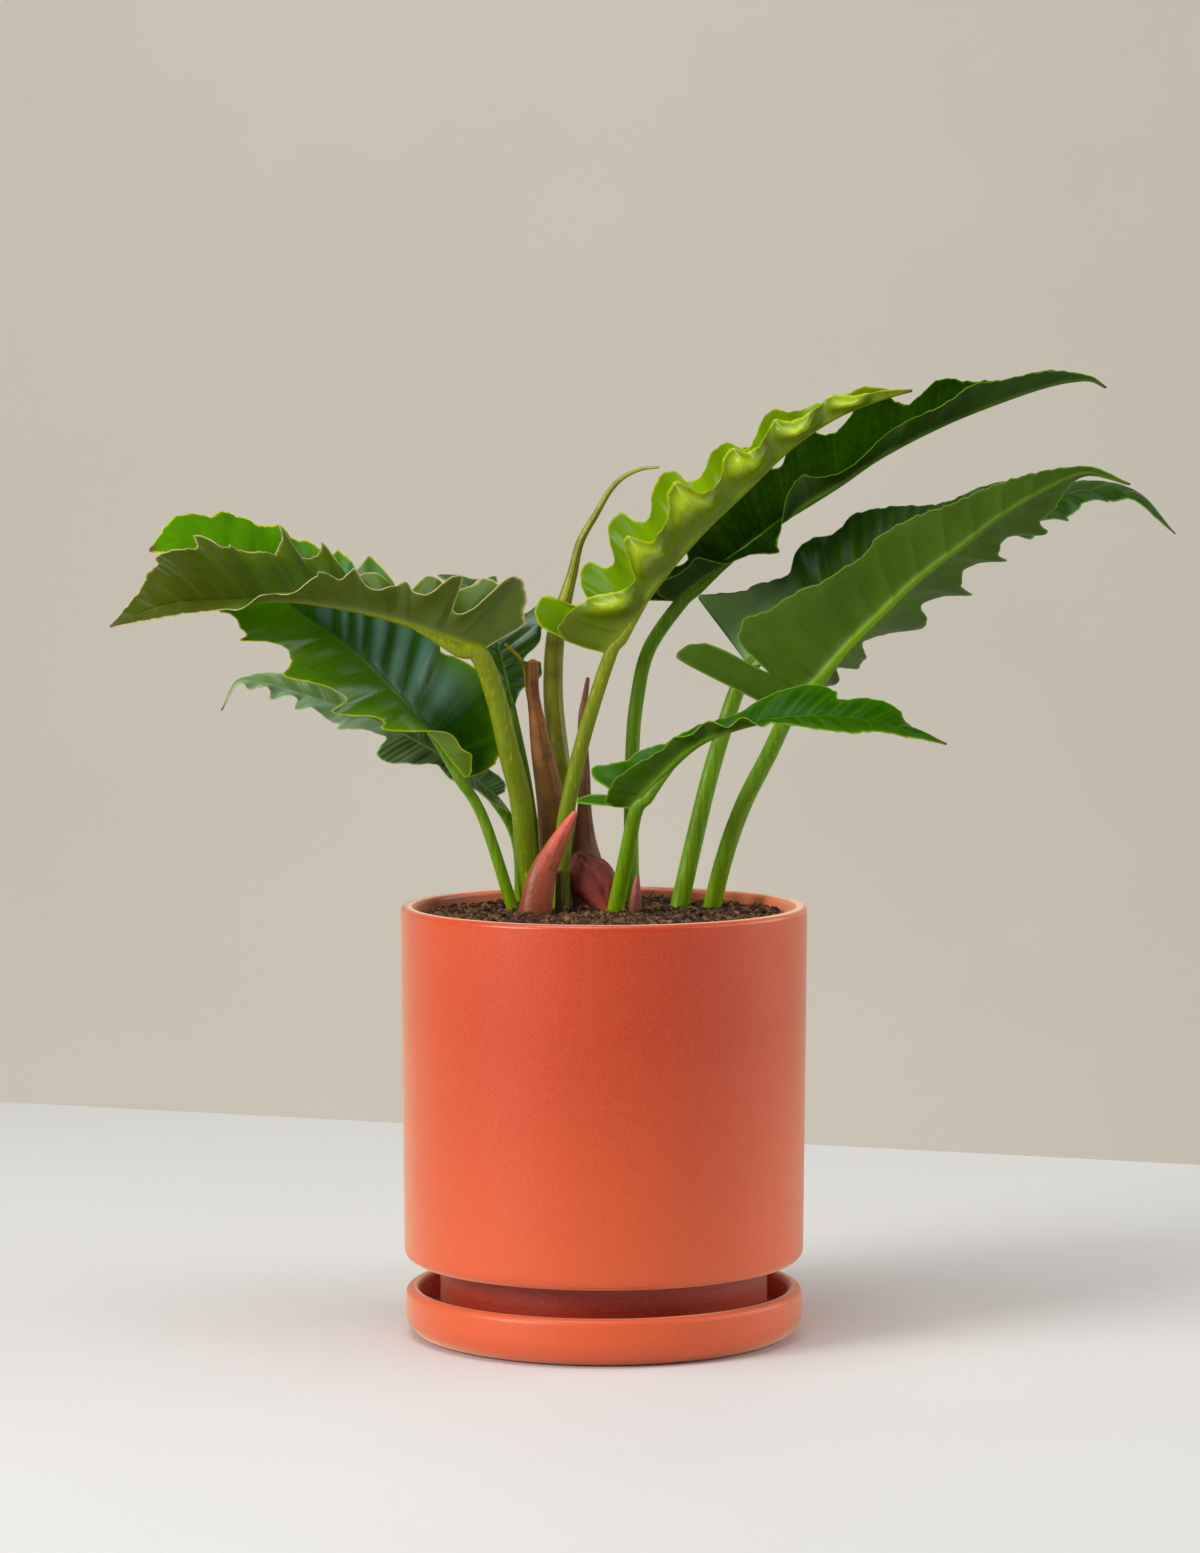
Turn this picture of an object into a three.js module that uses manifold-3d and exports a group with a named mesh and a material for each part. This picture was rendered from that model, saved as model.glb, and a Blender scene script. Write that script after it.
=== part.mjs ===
// A potted philodendron with deeply toothed leaves, in a tall round pot that stands in its own saucer.
// Millimetres, +Z up. The origin is on the pot's axis, on the surface that the saucer stands on.
// The front is -Y.
import * as THREE from "three";
import { mergeVertices } from "three/addons/utils/BufferGeometryUtils.js";
import Module from "manifold-3d";

const wasm = await Module();
wasm.setup();

// Sizes that all pieces share
const CLEARANCE = 0.3;
const ROUND_STEPS = 40;
const ARC_STEP = 30;
const SAME_POINT = 1e-4;
const UP = new THREE.Vector3(0, 0, 1);

// Saucer
const SAUCER_RADIUS = 99.6;
const SAUCER_HEIGHT = 24;
const SAUCER_FLOOR = 8;
const SAUCER_INNER_RADIUS = 91.5;
const SAUCER_CORNER = 12;
const SAUCER_WALL_TOP = 16;
const SAUCER_LIP = 3.6;
const SAUCER_LIP_SET_IN = 0.4;
const SAUCER_LIP_ARC = [10, 170];
const SAUCER_FILLET = 4;

// Pot
const POT_RADIUS = 101.5;
const POT_SHOULDER_RADIUS = 100;
const POT_RIM = 215;
const POT_WALL = 7;
const POT_EDGE = 37.6;
const POT_CORNER = 6;
const POT_CORNER_ARC = [-75, 0];
const POT_SHELF = 45;
const POT_FILLET = 5;
const RIM_ROUND = 2.5;
const FOOT_RADIUS = 82;
const FOOT_INNER_RADIUS = 75;
const FOOT_RECESS_RADIUS = 74;
const FOOT_RECESS = 3;
const POT_FLOOR = 19;
const DRAIN_RADIUS = 6;

// Potting mix
const SOIL_TOP = 209.5;
const SOIL_CORNER = 6;
const SOIL_STEPS = 40;
const SOIL_RINGS = [80, 62, 44, 24];
// Each wave of the lumps: its height, its turns in radians for each millimetre of x and of y, and its start.
const SOIL_WAVES = [
  [0.33, 0.13, 0.11, 0.8],
  [0.33, 0.13, -0.11, 0.8],
  [0.4, 0.31, -0.23, 0],
  [0.26, 0.19, 0.27, 1],
];
const ROOTED_DEPTH = 15;

// Leaves
const BLADE_THICKNESS = 0.9;
const RIDGE_AT_BASE = 3.2;
const RIDGE_AT_TIP = 1.1;
const COLUMNS_PER_HALF = 2;
const CLOSEST_ROWS = 0.011;
const LEAST_REACH = 0.6;
const SMALLEST_ANGLE = 1e-6;
const RUFFLE_GROWS = [0.02, 0.12];
const RUFFLE_FADES = [0.8, 1];
const POUCH_LEAN = 2.2;
const STALK_DROP = 2.6;
const STALK_SIDES = 8;
const STALK_STEP = 18;
const FEWEST_STEPS = 6;

// Looks
const CLAY = { color: 0xcf5433, roughness: 0.55 };
const POTTING_MIX = { color: 0x3a2a20, roughness: 0.95 };
const STALK_GREEN = { color: 0x6c9a3c, roughness: 0.5 };
const LEAF_ROUGHNESS = 0.45;
const SHOOT_ROUGHNESS = 0.6;

// How far the side veins of most leaves lean towards the tip, in degrees, at even stations.
const PLAIN_SWEEP = [-40, 8, 28, 32, 34, 36, 40];

// Every leaf: the route of its midrib from base to tip, and of its stalk from the soil up.
// near is the half blade towards the front and far the other. A margin is a line of points from base to tip:
// the place on the midrib where the side vein leaves, from 0 to 1, and the reach from there. The rise and the
// curl are in degrees at even stations, and a negative rise hangs down. sweep is like PLAIN_SWEEP.
const LEAVES = [
  {
    name: "left_front",
    color: 0x5f7d45,
    midrib: [[-61, -4, 343], [-81, -8, 351], [-106, -13, 360], [-133, -18, 366], [-159, -24, 369],
      [-188, -30, 368], [-215, -36, 366], [-241, -40, 356]],
    leansLeft: true,
    sweep: PLAIN_SWEEP,
    near: {
      margin: [[0, 0], [0.001, 10], [0.004, 20], [0.02, 24], [0.04, 34], [0.058, 40], [0.07, 41.5],
        [0.078, 38], [0.084, 28], [0.09, 20], [0.1, 16], [0.118, 15], [0.124, 24], [0.128, 33],
        [0.136, 36.5], [0.15, 34], [0.162, 28], [0.178, 23], [0.2, 21], [0.215, 26], [0.23, 22],
        [0.255, 21], [0.298, 20.5], [0.303, 31], [0.332, 27], [0.36, 26], [0.38, 35], [0.4, 27],
        [0.5, 22], [0.52, 26], [0.56, 21], [0.65, 19], [0.712, 17], [0.825, 13.5], [0.93, 6], [1, 0.5]],
      rise: [75, 52, 40, 32, 8, -10, -20, -20],
      ruffle: 2,
    },
    far: {
      margin: [[0, 0], [0.002, 14], [0.01, 26], [0.05, 36], [0.09, 41], [0.1, 34], [0.13, 28],
        [0.16, 33], [0.185, 25], [0.217, 24.5], [0.265, 29], [0.317, 21.5], [0.33, 25], [0.345, 35],
        [0.36, 29], [0.42, 24], [0.424, 40], [0.44, 32], [0.487, 22.5], [0.555, 25], [0.567, 29],
        [0.58, 26], [0.6, 27], [0.637, 35], [0.65, 29], [0.675, 26.5], [0.747, 27], [0.76, 22],
        [0.79, 19.5], [0.85, 12], [0.93, 6], [1, 0.5]],
      rise: [60, 52, 36, 52, 72, 76, 66, 40],
      ruffle: 3,
    },
    stalk: [[-35.5, 30, 208], [-38.5, 28, 231], [-42, 22, 266], [-47.5, 14, 290], [-54, 5, 319]],
    stalkRadius: [6, 5],
  },
  {
    name: "left_broad",
    color: 0x1f6a2c,
    midrib: [[-70, 14, 278], [-87, 10, 302], [-104, 6, 321], [-125, 2, 342], [-147, 0, 358],
      [-168, 0, 373], [-191, 2, 387], [-211, 4, 396], [-226, 6, 392]],
    leansLeft: true,
    sweep: PLAIN_SWEEP,
    near: {
      margin: [[0, 0], [0.008, 3], [0.042, 8], [0.072, 13], [0.087, 11], [0.16, 20], [0.177, 22],
        [0.212, 28], [0.22, 22.5], [0.262, 30], [0.287, 36.5], [0.297, 25], [0.33, 29], [0.4, 35],
        [0.425, 36], [0.435, 31], [0.457, 25], [0.485, 23], [0.505, 26.5], [0.54, 36.5], [0.55, 31],
        [0.565, 28], [0.602, 27], [0.65, 27], [0.68, 20], [0.72, 24], [0.75, 26], [0.77, 18], [0.83, 19],
        [0.85, 13], [0.92, 8], [1, 0.5]],
      rise: [70, 0, -50, -52, -50, -46, -40, -40],
      ruffle: 2.5,
    },
    far: {
      margin: [[0, 0], [0.01, 8], [0.03, 20], [0.05, 29], [0.06, 37], [0.085, 42], [0.11, 45],
        [0.142, 46], [0.16, 44], [0.19, 39], [0.205, 35.5], [0.222, 41], [0.26, 46], [0.29, 38],
        [0.35, 46], [0.38, 47], [0.41, 37], [0.47, 40], [0.5, 34], [0.56, 34], [0.6, 30], [0.627, 33],
        [0.66, 30.5], [0.69, 27], [0.75, 27], [0.787, 25], [0.81, 20], [0.867, 17], [0.932, 8],
        [1, 0.5]],
      rise: [60, 62, 64, 66, 66, 62, 56, 50],
      ruffle: 2.5,
    },
    stalk: [[-46, 24, 210], [-60, 20, 255]],
    stalkRadius: [3.2, 2.6],
  },
  {
    name: "left_low",
    color: 0x4d7550,
    midrib: [[-54, 38, 267], [-75, 34, 283], [-98, 32, 297], [-123, 32, 309], [-151, 32, 319],
      [-172, 32, 325], [-185, 32, 325], [-193, 30, 311]],
    leansLeft: true,
    sweep: PLAIN_SWEEP,
    near: {
      margin: [[0, 0], [0.004, 10], [0.05, 14], [0.12, 12], [0.16, 9], [0.2, 7.5], [0.225, 14],
        [0.24, 18], [0.29, 22], [0.335, 19], [0.352, 13], [0.362, 8], [0.4, 10], [0.487, 15.5],
        [0.505, 11], [0.58, 10], [0.655, 10], [0.672, 5.5], [0.74, 9], [0.76, 6], [0.835, 6], [0.9, 2],
        [1, 0.5]],
      rise: [-20, -35, -42, -42, -40, -40, -30, -20],
      ruffle: 2.5,
    },
    far: {
      margin: [[0, 0], [0.004, 4], [0.03, 8], [0.082, 11], [0.112, 8], [0.13, 9], [0.18, 24], [0.22, 20],
        [0.3, 28], [0.35, 20], [0.43, 26], [0.48, 18], [0.55, 21], [0.61, 16], [0.69, 18.5], [0.74, 12],
        [0.8, 9], [0.852, 4], [0.925, 1.5], [1, 0.5]],
      rise: [70, 45, 35, 40, 40, 30, 20, 0],
      ruffle: 2.5,
    },
    stalk: [[-43, 60, 209], [-43, 54, 233], [-47, 46, 251]],
    stalkRadius: [3.2, 2.8],
  },
  {
    name: "back_small",
    color: 0x24593c,
    midrib: [[-46, 44, 312], [-50, 50, 328], [-55, 58, 345], [-61, 68, 360], [-70, 80, 371],
      [-85, 92, 377]],
    leansLeft: true,
    sweep: PLAIN_SWEEP,
    near: {
      margin: [[0, 0], [0.01, 8], [0.08, 18], [0.16, 12], [0.26, 22], [0.34, 13], [0.45, 20], [0.53, 11],
        [0.63, 15], [0.72, 7], [0.85, 6], [1, 0.5]],
      rise: [30, 30, 20, 10, 0, 0],
      ruffle: 2.5,
    },
    far: {
      margin: [[0, 0], [0.03, 2], [0.06, 3], [0.11, 8], [0.147, 20], [0.19, 22], [0.208, 14],
        [0.225, 11.5], [0.245, 21], [0.282, 25], [0.375, 29], [0.4, 20], [0.457, 16], [0.53, 26],
        [0.6, 12], [0.68, 18], [0.76, 8], [0.88, 6], [1, 0.5]],
      rise: [10, 10, 14, 20, 20, 20],
      ruffle: 2.5,
    },
    stalk: [[-30, 68, 208], [-34, 64, 232], [-40, 54, 274]],
    stalkRadius: [3.2, 2.8],
  },
  {
    name: "centre_young",
    color: 0x9aae2c,
    midrib: [[1, 22, 340], [18, 17, 364], [34, 12, 385], [50, 8, 403], [70, 4, 422], [92, 0, 443],
      [114, -3, 458], [136, -7, 467], [152, -10, 471]],
    leansLeft: false,
    sweep: [-22, 2, 10, 14, 18, 24, 32],
    near: {
      margin: [[0, 0], [0.003, 10], [0.012, 22], [0.03, 28], [0.06, 29], [0.09, 26], [0.12, 22],
        [0.145, 15.5], [0.185, 10.5], [0.215, 20], [0.237, 29], [0.255, 30], [0.275, 19.5], [0.312, 18],
        [0.345, 20], [0.372, 30], [0.402, 32], [0.432, 18], [0.482, 14], [0.52, 20], [0.55, 22],
        [0.58, 14], [0.63, 13], [0.66, 16], [0.7, 10], [0.77, 9], [0.8, 10], [0.85, 6], [0.94, 3],
        [1, 0.5]],
      rise: [60, 52, 48, 48, 54, 64, 70, 70],
      ruffle: 2,
      pouch: 9,
    },
    far: {
      margin: [[0, 0], [0.001, 8], [0.003, 26], [0.01, 46], [0.028, 56], [0.055, 59], [0.061, 44],
        [0.068, 32], [0.082, 28.5], [0.09, 33], [0.115, 43.5], [0.133, 48], [0.141, 38], [0.15, 35],
        [0.172, 34.5], [0.178, 37], [0.205, 46], [0.237, 48], [0.248, 38], [0.27, 33], [0.295, 31],
        [0.335, 37], [0.365, 40], [0.385, 37], [0.397, 28], [0.45, 24], [0.507, 28], [0.533, 27.5],
        [0.56, 19], [0.592, 16], [0.645, 21], [0.667, 20], [0.702, 14], [0.765, 12], [0.802, 11],
        [0.832, 8], [0.87, 8], [0.94, 3], [1, 0.5]],
      rise: [50, 50, 52, 54, 56, 60, 64, 64],
      ruffle: 5,
      curl: [20, 20, 10],
    },
    stalk: [[-22, 28, 212], [-21, 28, 240], [-18, 27, 264], [-10, 25, 298]],
    stalkRadius: [4.6, 3.4],
  },
  {
    name: "back_tall",
    color: 0x17502a,
    midrib: [[37, 60, 365], [52, 58, 378], [72, 55, 393], [91, 52, 407], [118, 48, 424], [140, 44, 439],
      [171, 40, 455], [201, 36, 467], [226, 34, 475], [243, 32, 477], [252, 30, 473]],
    leansLeft: false,
    sweep: [-50, 0, 20, 26, 30, 34, 38],
    near: {
      margin: [[0, 0], [0.008, 5], [0.03, 13], [0.055, 14], [0.077, 11], [0.1, 12], [0.14, 19],
        [0.155, 17], [0.2, 21], [0.222, 26], [0.228, 17], [0.24, 10], [0.267, 8], [0.31, 12],
        [0.342, 14], [0.352, 11], [0.385, 9], [0.48, 8], [0.54, 10], [0.595, 13.5], [0.65, 15],
        [0.705, 16], [0.76, 12], [0.862, 8], [0.94, 3], [1, 0.5]],
      rise: [60, 40, -20, -25, 55, 45, 35, 40, 45, 50, 55, 60, 60],
      ruffle: 3,
    },
    far: {
      margin: [[0, 0], [0.003, 8], [0.01, 22], [0.03, 32], [0.055, 30], [0.075, 16], [0.09, 13.5],
        [0.1, 20], [0.125, 40], [0.155, 42], [0.175, 30], [0.195, 25.5], [0.21, 33], [0.235, 46],
        [0.255, 42], [0.275, 28], [0.3, 27], [0.315, 34], [0.335, 46], [0.355, 44], [0.37, 32],
        [0.4, 27], [0.44, 26], [0.465, 30], [0.48, 33], [0.51, 31], [0.527, 26], [0.56, 19],
        [0.587, 18.5], [0.635, 22], [0.722, 14.5], [0.762, 10.5], [0.862, 8.5], [0.922, 3.5], [1, 0.5]],
      rise: [60, 64, 66, 68, 70, 66, 60, 50],
      ruffle: 3,
    },
    stalk: [[15.5, 55, 209], [14, 56, 233], [14.5, 58, 287], [17, 60, 315], [23, 61, 340]],
    stalkRadius: [3.8, 3.5],
  },
  {
    name: "right_front",
    color: 0x4f8240,
    midrib: [[90, 14, 310], [107, 10, 327], [123, 6, 346], [140, 3, 363], [158, 0, 380], [179, -4, 396],
      [197, -8, 410], [218, -12, 423], [238, -15, 431], [259, -17, 425]],
    leansLeft: false,
    sweep: [-20, 2, 20, 28, 32, 36, 40],
    near: {
      margin: [[0, 0], [0.0005, 12], [0.001, 33], [0.002, 50], [0.004, 58], [0.014, 59], [0.03, 58],
        [0.044, 53], [0.05, 46], [0.053, 36], [0.056, 26], [0.06, 20], [0.065, 28], [0.07, 38],
        [0.08, 44], [0.115, 48], [0.157, 42], [0.21, 37], [0.25, 31.5], [0.285, 30], [0.342, 26.5],
        [0.37, 28.5], [0.392, 28], [0.487, 24], [0.562, 19.5], [0.677, 14], [0.787, 8.5], [0.862, 4],
        [0.94, 2], [1, 0.5]],
      rise: [84, 80, 80, 80, 78, 74, 66, 60],
      ruffle: 2,
    },
    far: {
      margin: [[0, 0], [0.01, 8], [0.04, 16], [0.09, 18], [0.13, 16], [0.155, 6.5], [0.16, 18],
        [0.167, 31], [0.2, 22], [0.23, 9.5], [0.26, 26], [0.29, 37], [0.31, 36], [0.337, 28.5],
        [0.355, 20.5], [0.385, 29], [0.42, 39], [0.445, 25], [0.48, 18.5], [0.51, 23], [0.54, 29.5],
        [0.555, 21], [0.582, 17.2], [0.62, 21], [0.665, 27.5], [0.675, 21], [0.695, 18.5], [0.735, 17],
        [0.8, 9], [0.86, 4], [0.94, 2], [1, 0.5]],
      rise: [-10, -18, -24, -32, -36, -40, -40, -30],
      ruffle: 2.5,
    },
    stalk: [[55, 39, 210], [60, 36, 232], [70, 30, 262], [83, 22, 289]],
    stalkRadius: [4.7, 4],
  },
  {
    name: "right_back",
    color: 0x1e5c33,
    midrib: [[72.5, 50, 333.5], [96, 48, 355], [125, 46, 377], [160, 44, 396], [195, 42, 411], [225, 40, 418],
      [250, 38, 422], [270, 36, 418], [288, 34, 400]],
    leansLeft: false,
    sweep: [2, 12, 24, 30, 32, 36, 40],
    near: {
      margin: [[0, 0], [0.01, 8], [0.06, 20], [0.1, 26], [0.14, 18], [0.2, 30], [0.25, 20], [0.33, 34],
        [0.38, 21], [0.46, 34], [0.51, 20], [0.59, 29], [0.62, 20], [0.675, 25], [0.69, 18],
        [0.74, 12.5], [0.787, 14.5], [0.81, 9], [0.86, 5.5], [0.93, 4.5], [1, 0.5]],
      rise: [-30, -30, -34, -36, -36, -34, -30, -30],
      ruffle: 2.5,
    },
    far: {
      margin: [[0, 0], [0.001, 14], [0.002, 28], [0.004, 48], [0.042, 40], [0.08, 31], [0.132, 26.5],
        [0.165, 23.5], [0.18, 28.5], [0.215, 33], [0.262, 28.5], [0.285, 32], [0.34, 28], [0.385, 25.5],
        [0.492, 17], [0.55, 17], [0.6, 19], [0.65, 14], [0.74, 11.5], [0.792, 10], [0.86, 7], [0.93, 5],
        [1, 0.5]],
      rise: [62, 60, 56, 50, 40, 30, 20, 0],
      ruffle: 2.5,
    },
    stalk: [[38, 44, 209], [47, 46, 248], [55, 48, 280], [67, 50, 318]],
    stalkRadius: [4.8, 4],
  },
  {
    name: "right_low",
    color: 0x3f8f2c,
    midrib: [[14, -12, 265], [28, -16, 281], [47, -20, 298], [70, -24, 307], [92, -27, 311],
      [116, -30, 311], [141, -32, 307], [168, -34, 298]],
    leansLeft: false,
    sweep: PLAIN_SWEEP,
    near: {
      margin: [[0, 0], [0.001, 5], [0.005, 9], [0.02, 13], [0.05, 16], [0.08, 16], [0.12, 13],
        [0.175, 9.5], [0.22, 9], [0.275, 8], [0.33, 8.5], [0.37, 7], [0.44, 8], [0.5, 8], [0.545, 9],
        [0.58, 11], [0.68, 13.5], [0.75, 10], [0.842, 9], [0.9, 5], [1, 0.5]],
      rise: [60, 60, 50, 10, -30, -30, -20, -20],
      ruffle: 2.5,
    },
    far: {
      margin: [[0, 0], [0.001, 18], [0.003, 27], [0.012, 28], [0.02, 24], [0.027, 15], [0.036, 18],
        [0.046, 30], [0.06, 34], [0.078, 27], [0.1, 20], [0.13, 18], [0.18, 12], [0.27, 11.5],
        [0.377, 8.5], [0.43, 12], [0.472, 16], [0.53, 22], [0.59, 20], [0.62, 14], [0.647, 12],
        [0.677, 13], [0.777, 15.5], [0.83, 10], [0.9, 5], [1, 0.5]],
      rise: [64, 58, 50, 46, 46, 40, 30, 20],
      ruffle: 2.5,
    },
    stalk: [[5, 4, 209], [11, -4, 239]],
    stalkRadius: [4.4, 3.6],
  },
];

// What else grows from the crown: a route from the soil up, and the radius at even stations of it.
// flat makes a section narrower from front to back.
const SHOOTS = [
  {
    name: "rolled_new_leaf",
    color: 0x8d9a34,
    route: [[-18, 57, 208], [-20, 59, 263], [-23, 61, 286], [-26, 63, 315], [-25, 63, 345],
      [-20, 61, 365], [-16, 60, 379], [-12, 58, 395], [-4, 55, 409], [3, 51, 421], [10, 47, 428],
      [19, 42, 432], [28, 37, 433]],
    radius: [4.9, 4.9, 4.9, 4.9, 4.9, 4.8, 4.4, 2.6, 1.8, 1.3, 0.6],
    flat: 1,
  },
  {
    name: "sheath_brown",
    color: 0x8a5a35,
    route: [[-24, 43, 208], [-26, 43, 248], [-27, 43, 262], [-29, 43, 275], [-32, 43, 291],
      [-34, 43, 305], [-36, 42, 320], [-36, 41, 336]],
    radius: [6.8, 7.1, 7.3, 7.2, 6.4, 4.8, 3.2, 2.9],
    flat: 0.8,
  },
  {
    name: "sheath_pink_front",
    color: 0xb0605a,
    route: [[-35, 6, 208], [-32, 6, 226], [-26, 8, 240], [-20, 10, 251], [-14, 12, 261]],
    radius: [8.4, 8.2, 7.4, 6, 4, 1.4],
    flat: 0.75,
  },
  {
    name: "sheath_red_back",
    color: 0x8c4a3c,
    route: [[-8, 38, 208], [-9, 38, 228], [-10, 38, 246], [-10, 38, 272], [-11, 38, 305],
      [-9.5, 38, 317], [-8, 38, 327]],
    radius: [6, 7.2, 8.8, 5.8, 3.5, 3.1, 2.6, 1.8, 1],
    flat: 0.5,
  },
  {
    name: "bract_pink",
    color: 0xc06a68,
    route: [[0, 21, 208], [-4, 21, 220], [-7.5, 21, 228], [-10.5, 21, 233], [-12.5, 21, 238]],
    radius: [3, 3.2, 3.6, 7, 11, 9.5, 2],
    flat: 0.35,
  },
  {
    name: "sheath_pink_small",
    color: 0xb87470,
    route: [[15.5, 16, 208], [16, 16, 219], [17, 16.5, 229]],
    radius: [3.1, 3.2, 3.1, 2.4, 0.8],
    flat: 0.8,
  },
  {
    name: "stub_green",
    color: 0x6f8a3a,
    route: [[-22, 17, 208], [-22, 17, 221], [-22, 17, 231]],
    radius: [2.6, 2.6, 2.2],
    flat: 1,
  },
  {
    name: "curl_yellow",
    color: 0xb9b04c,
    route: [[-28, 58, 208], [-31, 56, 263], [-36, 51, 304], [-39, 45, 321], [-40, 42, 330],
      [-43, 38, 337], [-50, 33, 344]],
    radius: [1.8, 1.7, 1.6, 1.5, 1.3, 1, 0.8],
    flat: 1,
  },
];

function radians(degrees) {
  return THREE.MathUtils.degToRad(degrees);
}

// The value at place s, from 0 to 1, on a smooth run through values that stand at even stations.
function run(values, s) {
  const last = values.length - 1;
  const x = THREE.MathUtils.clamp(s, 0, 1) * last;
  const k = Math.min(Math.floor(x), last - 1);
  const f = x - k;
  const before = k > 0 ? values[k - 1] : 2 * values[0] - values[1];
  const after = k + 2 <= last ? values[k + 2] : 2 * values[last] - values[last - 1];
  const startSlope = (values[k + 1] - before) / 2;
  const endSlope = (after - values[k]) / 2;
  const blend = f * f * (3 - 2 * f);
  const start = startSlope * f * (1 - f) * (1 - f);
  const end = endSlope * f * f * (1 - f);
  return values[k] * (1 - blend) + values[k + 1] * blend + start - end;
}

// A closed geometry from a list of points and a list of triangles.
function closedMesh(points, triangles) {
  const geometry = new THREE.BufferGeometry();
  const numbers = points.flatMap((p) => p.toArray());
  geometry.setAttribute("position", new THREE.Float32BufferAttribute(numbers, 3));
  geometry.setIndex(triangles);
  geometry.computeVertexNormals();
  return geometry;
}

function toSolid(geometry) {
  const bare = new THREE.BufferGeometry();
  bare.setAttribute("position", geometry.getAttribute("position"));
  bare.setIndex(geometry.getIndex());
  const merged = mergeVertices(bare, SAME_POINT);
  return new wasm.Manifold(
    new wasm.Mesh({
      numProp: 3,
      vertProperties: merged.attributes.position.array,
      triVerts: new Uint32Array(merged.index.array),
    }),
  );
}

// The largest body of a solid, as a geometry.
function fromSolid(solid) {
  const bodies = solid.decompose();
  const largest = bodies.reduce((a, b) => (b.volume() > a.volume() ? b : a));
  const mesh = largest.getMesh();
  const geometry = new THREE.BufferGeometry();
  geometry.setAttribute("position", new THREE.BufferAttribute(mesh.vertProperties, 3));
  geometry.setIndex(new THREE.BufferAttribute(mesh.triVerts, 1));
  geometry.computeVertexNormals();
  return geometry;
}

function cut(geometry, cutters) {
  return fromSolid(cutters.reduce((solid, cutter) => solid.subtract(toSolid(cutter)), toSolid(geometry)));
}

// A body of revolution about Z from an outline of [radius, height] points.
function revolved(outline, steps) {
  const profile = outline.map(([r, z]) => new THREE.Vector2(r, z));
  return new THREE.LatheGeometry(profile, steps).rotateX(Math.PI / 2);
}

// Points of an arc about a centre in a profile, from one angle to another in degrees.
function arc([r, z], radius, from, to) {
  const steps = Math.ceil(Math.abs(to - from) / ARC_STEP);
  return Array.from({ length: steps + 1 }, (_, i) => {
    const a = radians(from + ((to - from) * i) / steps);
    return [r + radius * Math.cos(a), z + radius * Math.sin(a)];
  });
}

function saucer() {
  const cornerRadius = SAUCER_RADIUS - SAUCER_CORNER;
  const lipRadius = SAUCER_RADIUS - SAUCER_LIP - SAUCER_LIP_SET_IN;
  const filletRadius = SAUCER_INNER_RADIUS - SAUCER_FILLET;
  return revolved(
    [
      [0, 0],
      ...arc([cornerRadius, SAUCER_CORNER], SAUCER_CORNER, -90, 0),
      [SAUCER_RADIUS, SAUCER_WALL_TOP],
      ...arc([lipRadius, SAUCER_HEIGHT - SAUCER_LIP], SAUCER_LIP, ...SAUCER_LIP_ARC),
      ...arc([filletRadius, SAUCER_FLOOR + SAUCER_FILLET], SAUCER_FILLET, 0, -90),
      [0, SAUCER_FLOOR],
    ],
    ROUND_STEPS,
  );
}

function pot() {
  const innerRadius = POT_RADIUS - POT_WALL;
  const shelfRadius = POT_SHOULDER_RADIUS - POT_WALL;
  const rimHeight = POT_RIM - RIM_ROUND;
  const footBottom = SAUCER_FLOOR + CLEARANCE;
  return revolved(
    [
      [DRAIN_RADIUS, footBottom + FOOT_RECESS],
      [FOOT_RECESS_RADIUS, footBottom + FOOT_RECESS],
      [FOOT_RECESS_RADIUS, footBottom],
      [FOOT_RADIUS, footBottom],
      [FOOT_RADIUS, POT_EDGE],
      ...arc([POT_SHOULDER_RADIUS - POT_CORNER, POT_EDGE + POT_CORNER], POT_CORNER, ...POT_CORNER_ARC),
      ...arc([POT_RADIUS - RIM_ROUND, rimHeight], RIM_ROUND, 0, 90),
      ...arc([innerRadius + RIM_ROUND, rimHeight], RIM_ROUND, 90, 180),
      ...arc([shelfRadius - POT_FILLET, POT_SHELF + POT_FILLET], POT_FILLET, 0, -90),
      [FOOT_INNER_RADIUS, POT_SHELF],
      [FOOT_INNER_RADIUS, POT_FLOOR],
      [DRAIN_RADIUS, POT_FLOOR],
      [DRAIN_RADIUS, footBottom + FOOT_RECESS],
    ],
    ROUND_STEPS,
  );
}

// The height of the soil's lumps at a place, a sum of waves.
function lump(x, y) {
  return SOIL_WAVES.reduce((sum, [height, turnX, turnY, start]) => {
    return sum + height * Math.sin(turnX * x + turnY * y + start);
  }, 0);
}

function soil(holes) {
  const footRadius = FOOT_INNER_RADIUS - CLEARANCE;
  const shelfRadius = POT_SHOULDER_RADIUS - POT_WALL - CLEARANCE;
  const topRadius = POT_RADIUS - POT_WALL - 2 * CLEARANCE;
  const shelf = POT_SHELF + CLEARANCE;
  const geometry = revolved(
    [
      [0, POT_FLOOR + CLEARANCE],
      [footRadius, POT_FLOOR + CLEARANCE],
      [footRadius, shelf],
      [shelfRadius - SOIL_CORNER, shelf],
      [shelfRadius, shelf + SOIL_CORNER],
      [topRadius, SOIL_TOP],
      ...SOIL_RINGS.map((r) => [r, SOIL_TOP]),
      [0, SOIL_TOP],
    ],
    SOIL_STEPS,
  );
  const place = geometry.getAttribute("position");
  for (let i = 0; i < place.count; i += 1) {
    if (Math.abs(place.getZ(i) - SOIL_TOP) < SAME_POINT) {
      place.setZ(i, SOIL_TOP + lump(place.getX(i), place.getY(i)));
    }
  }
  return cut(geometry, holes);
}

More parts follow.
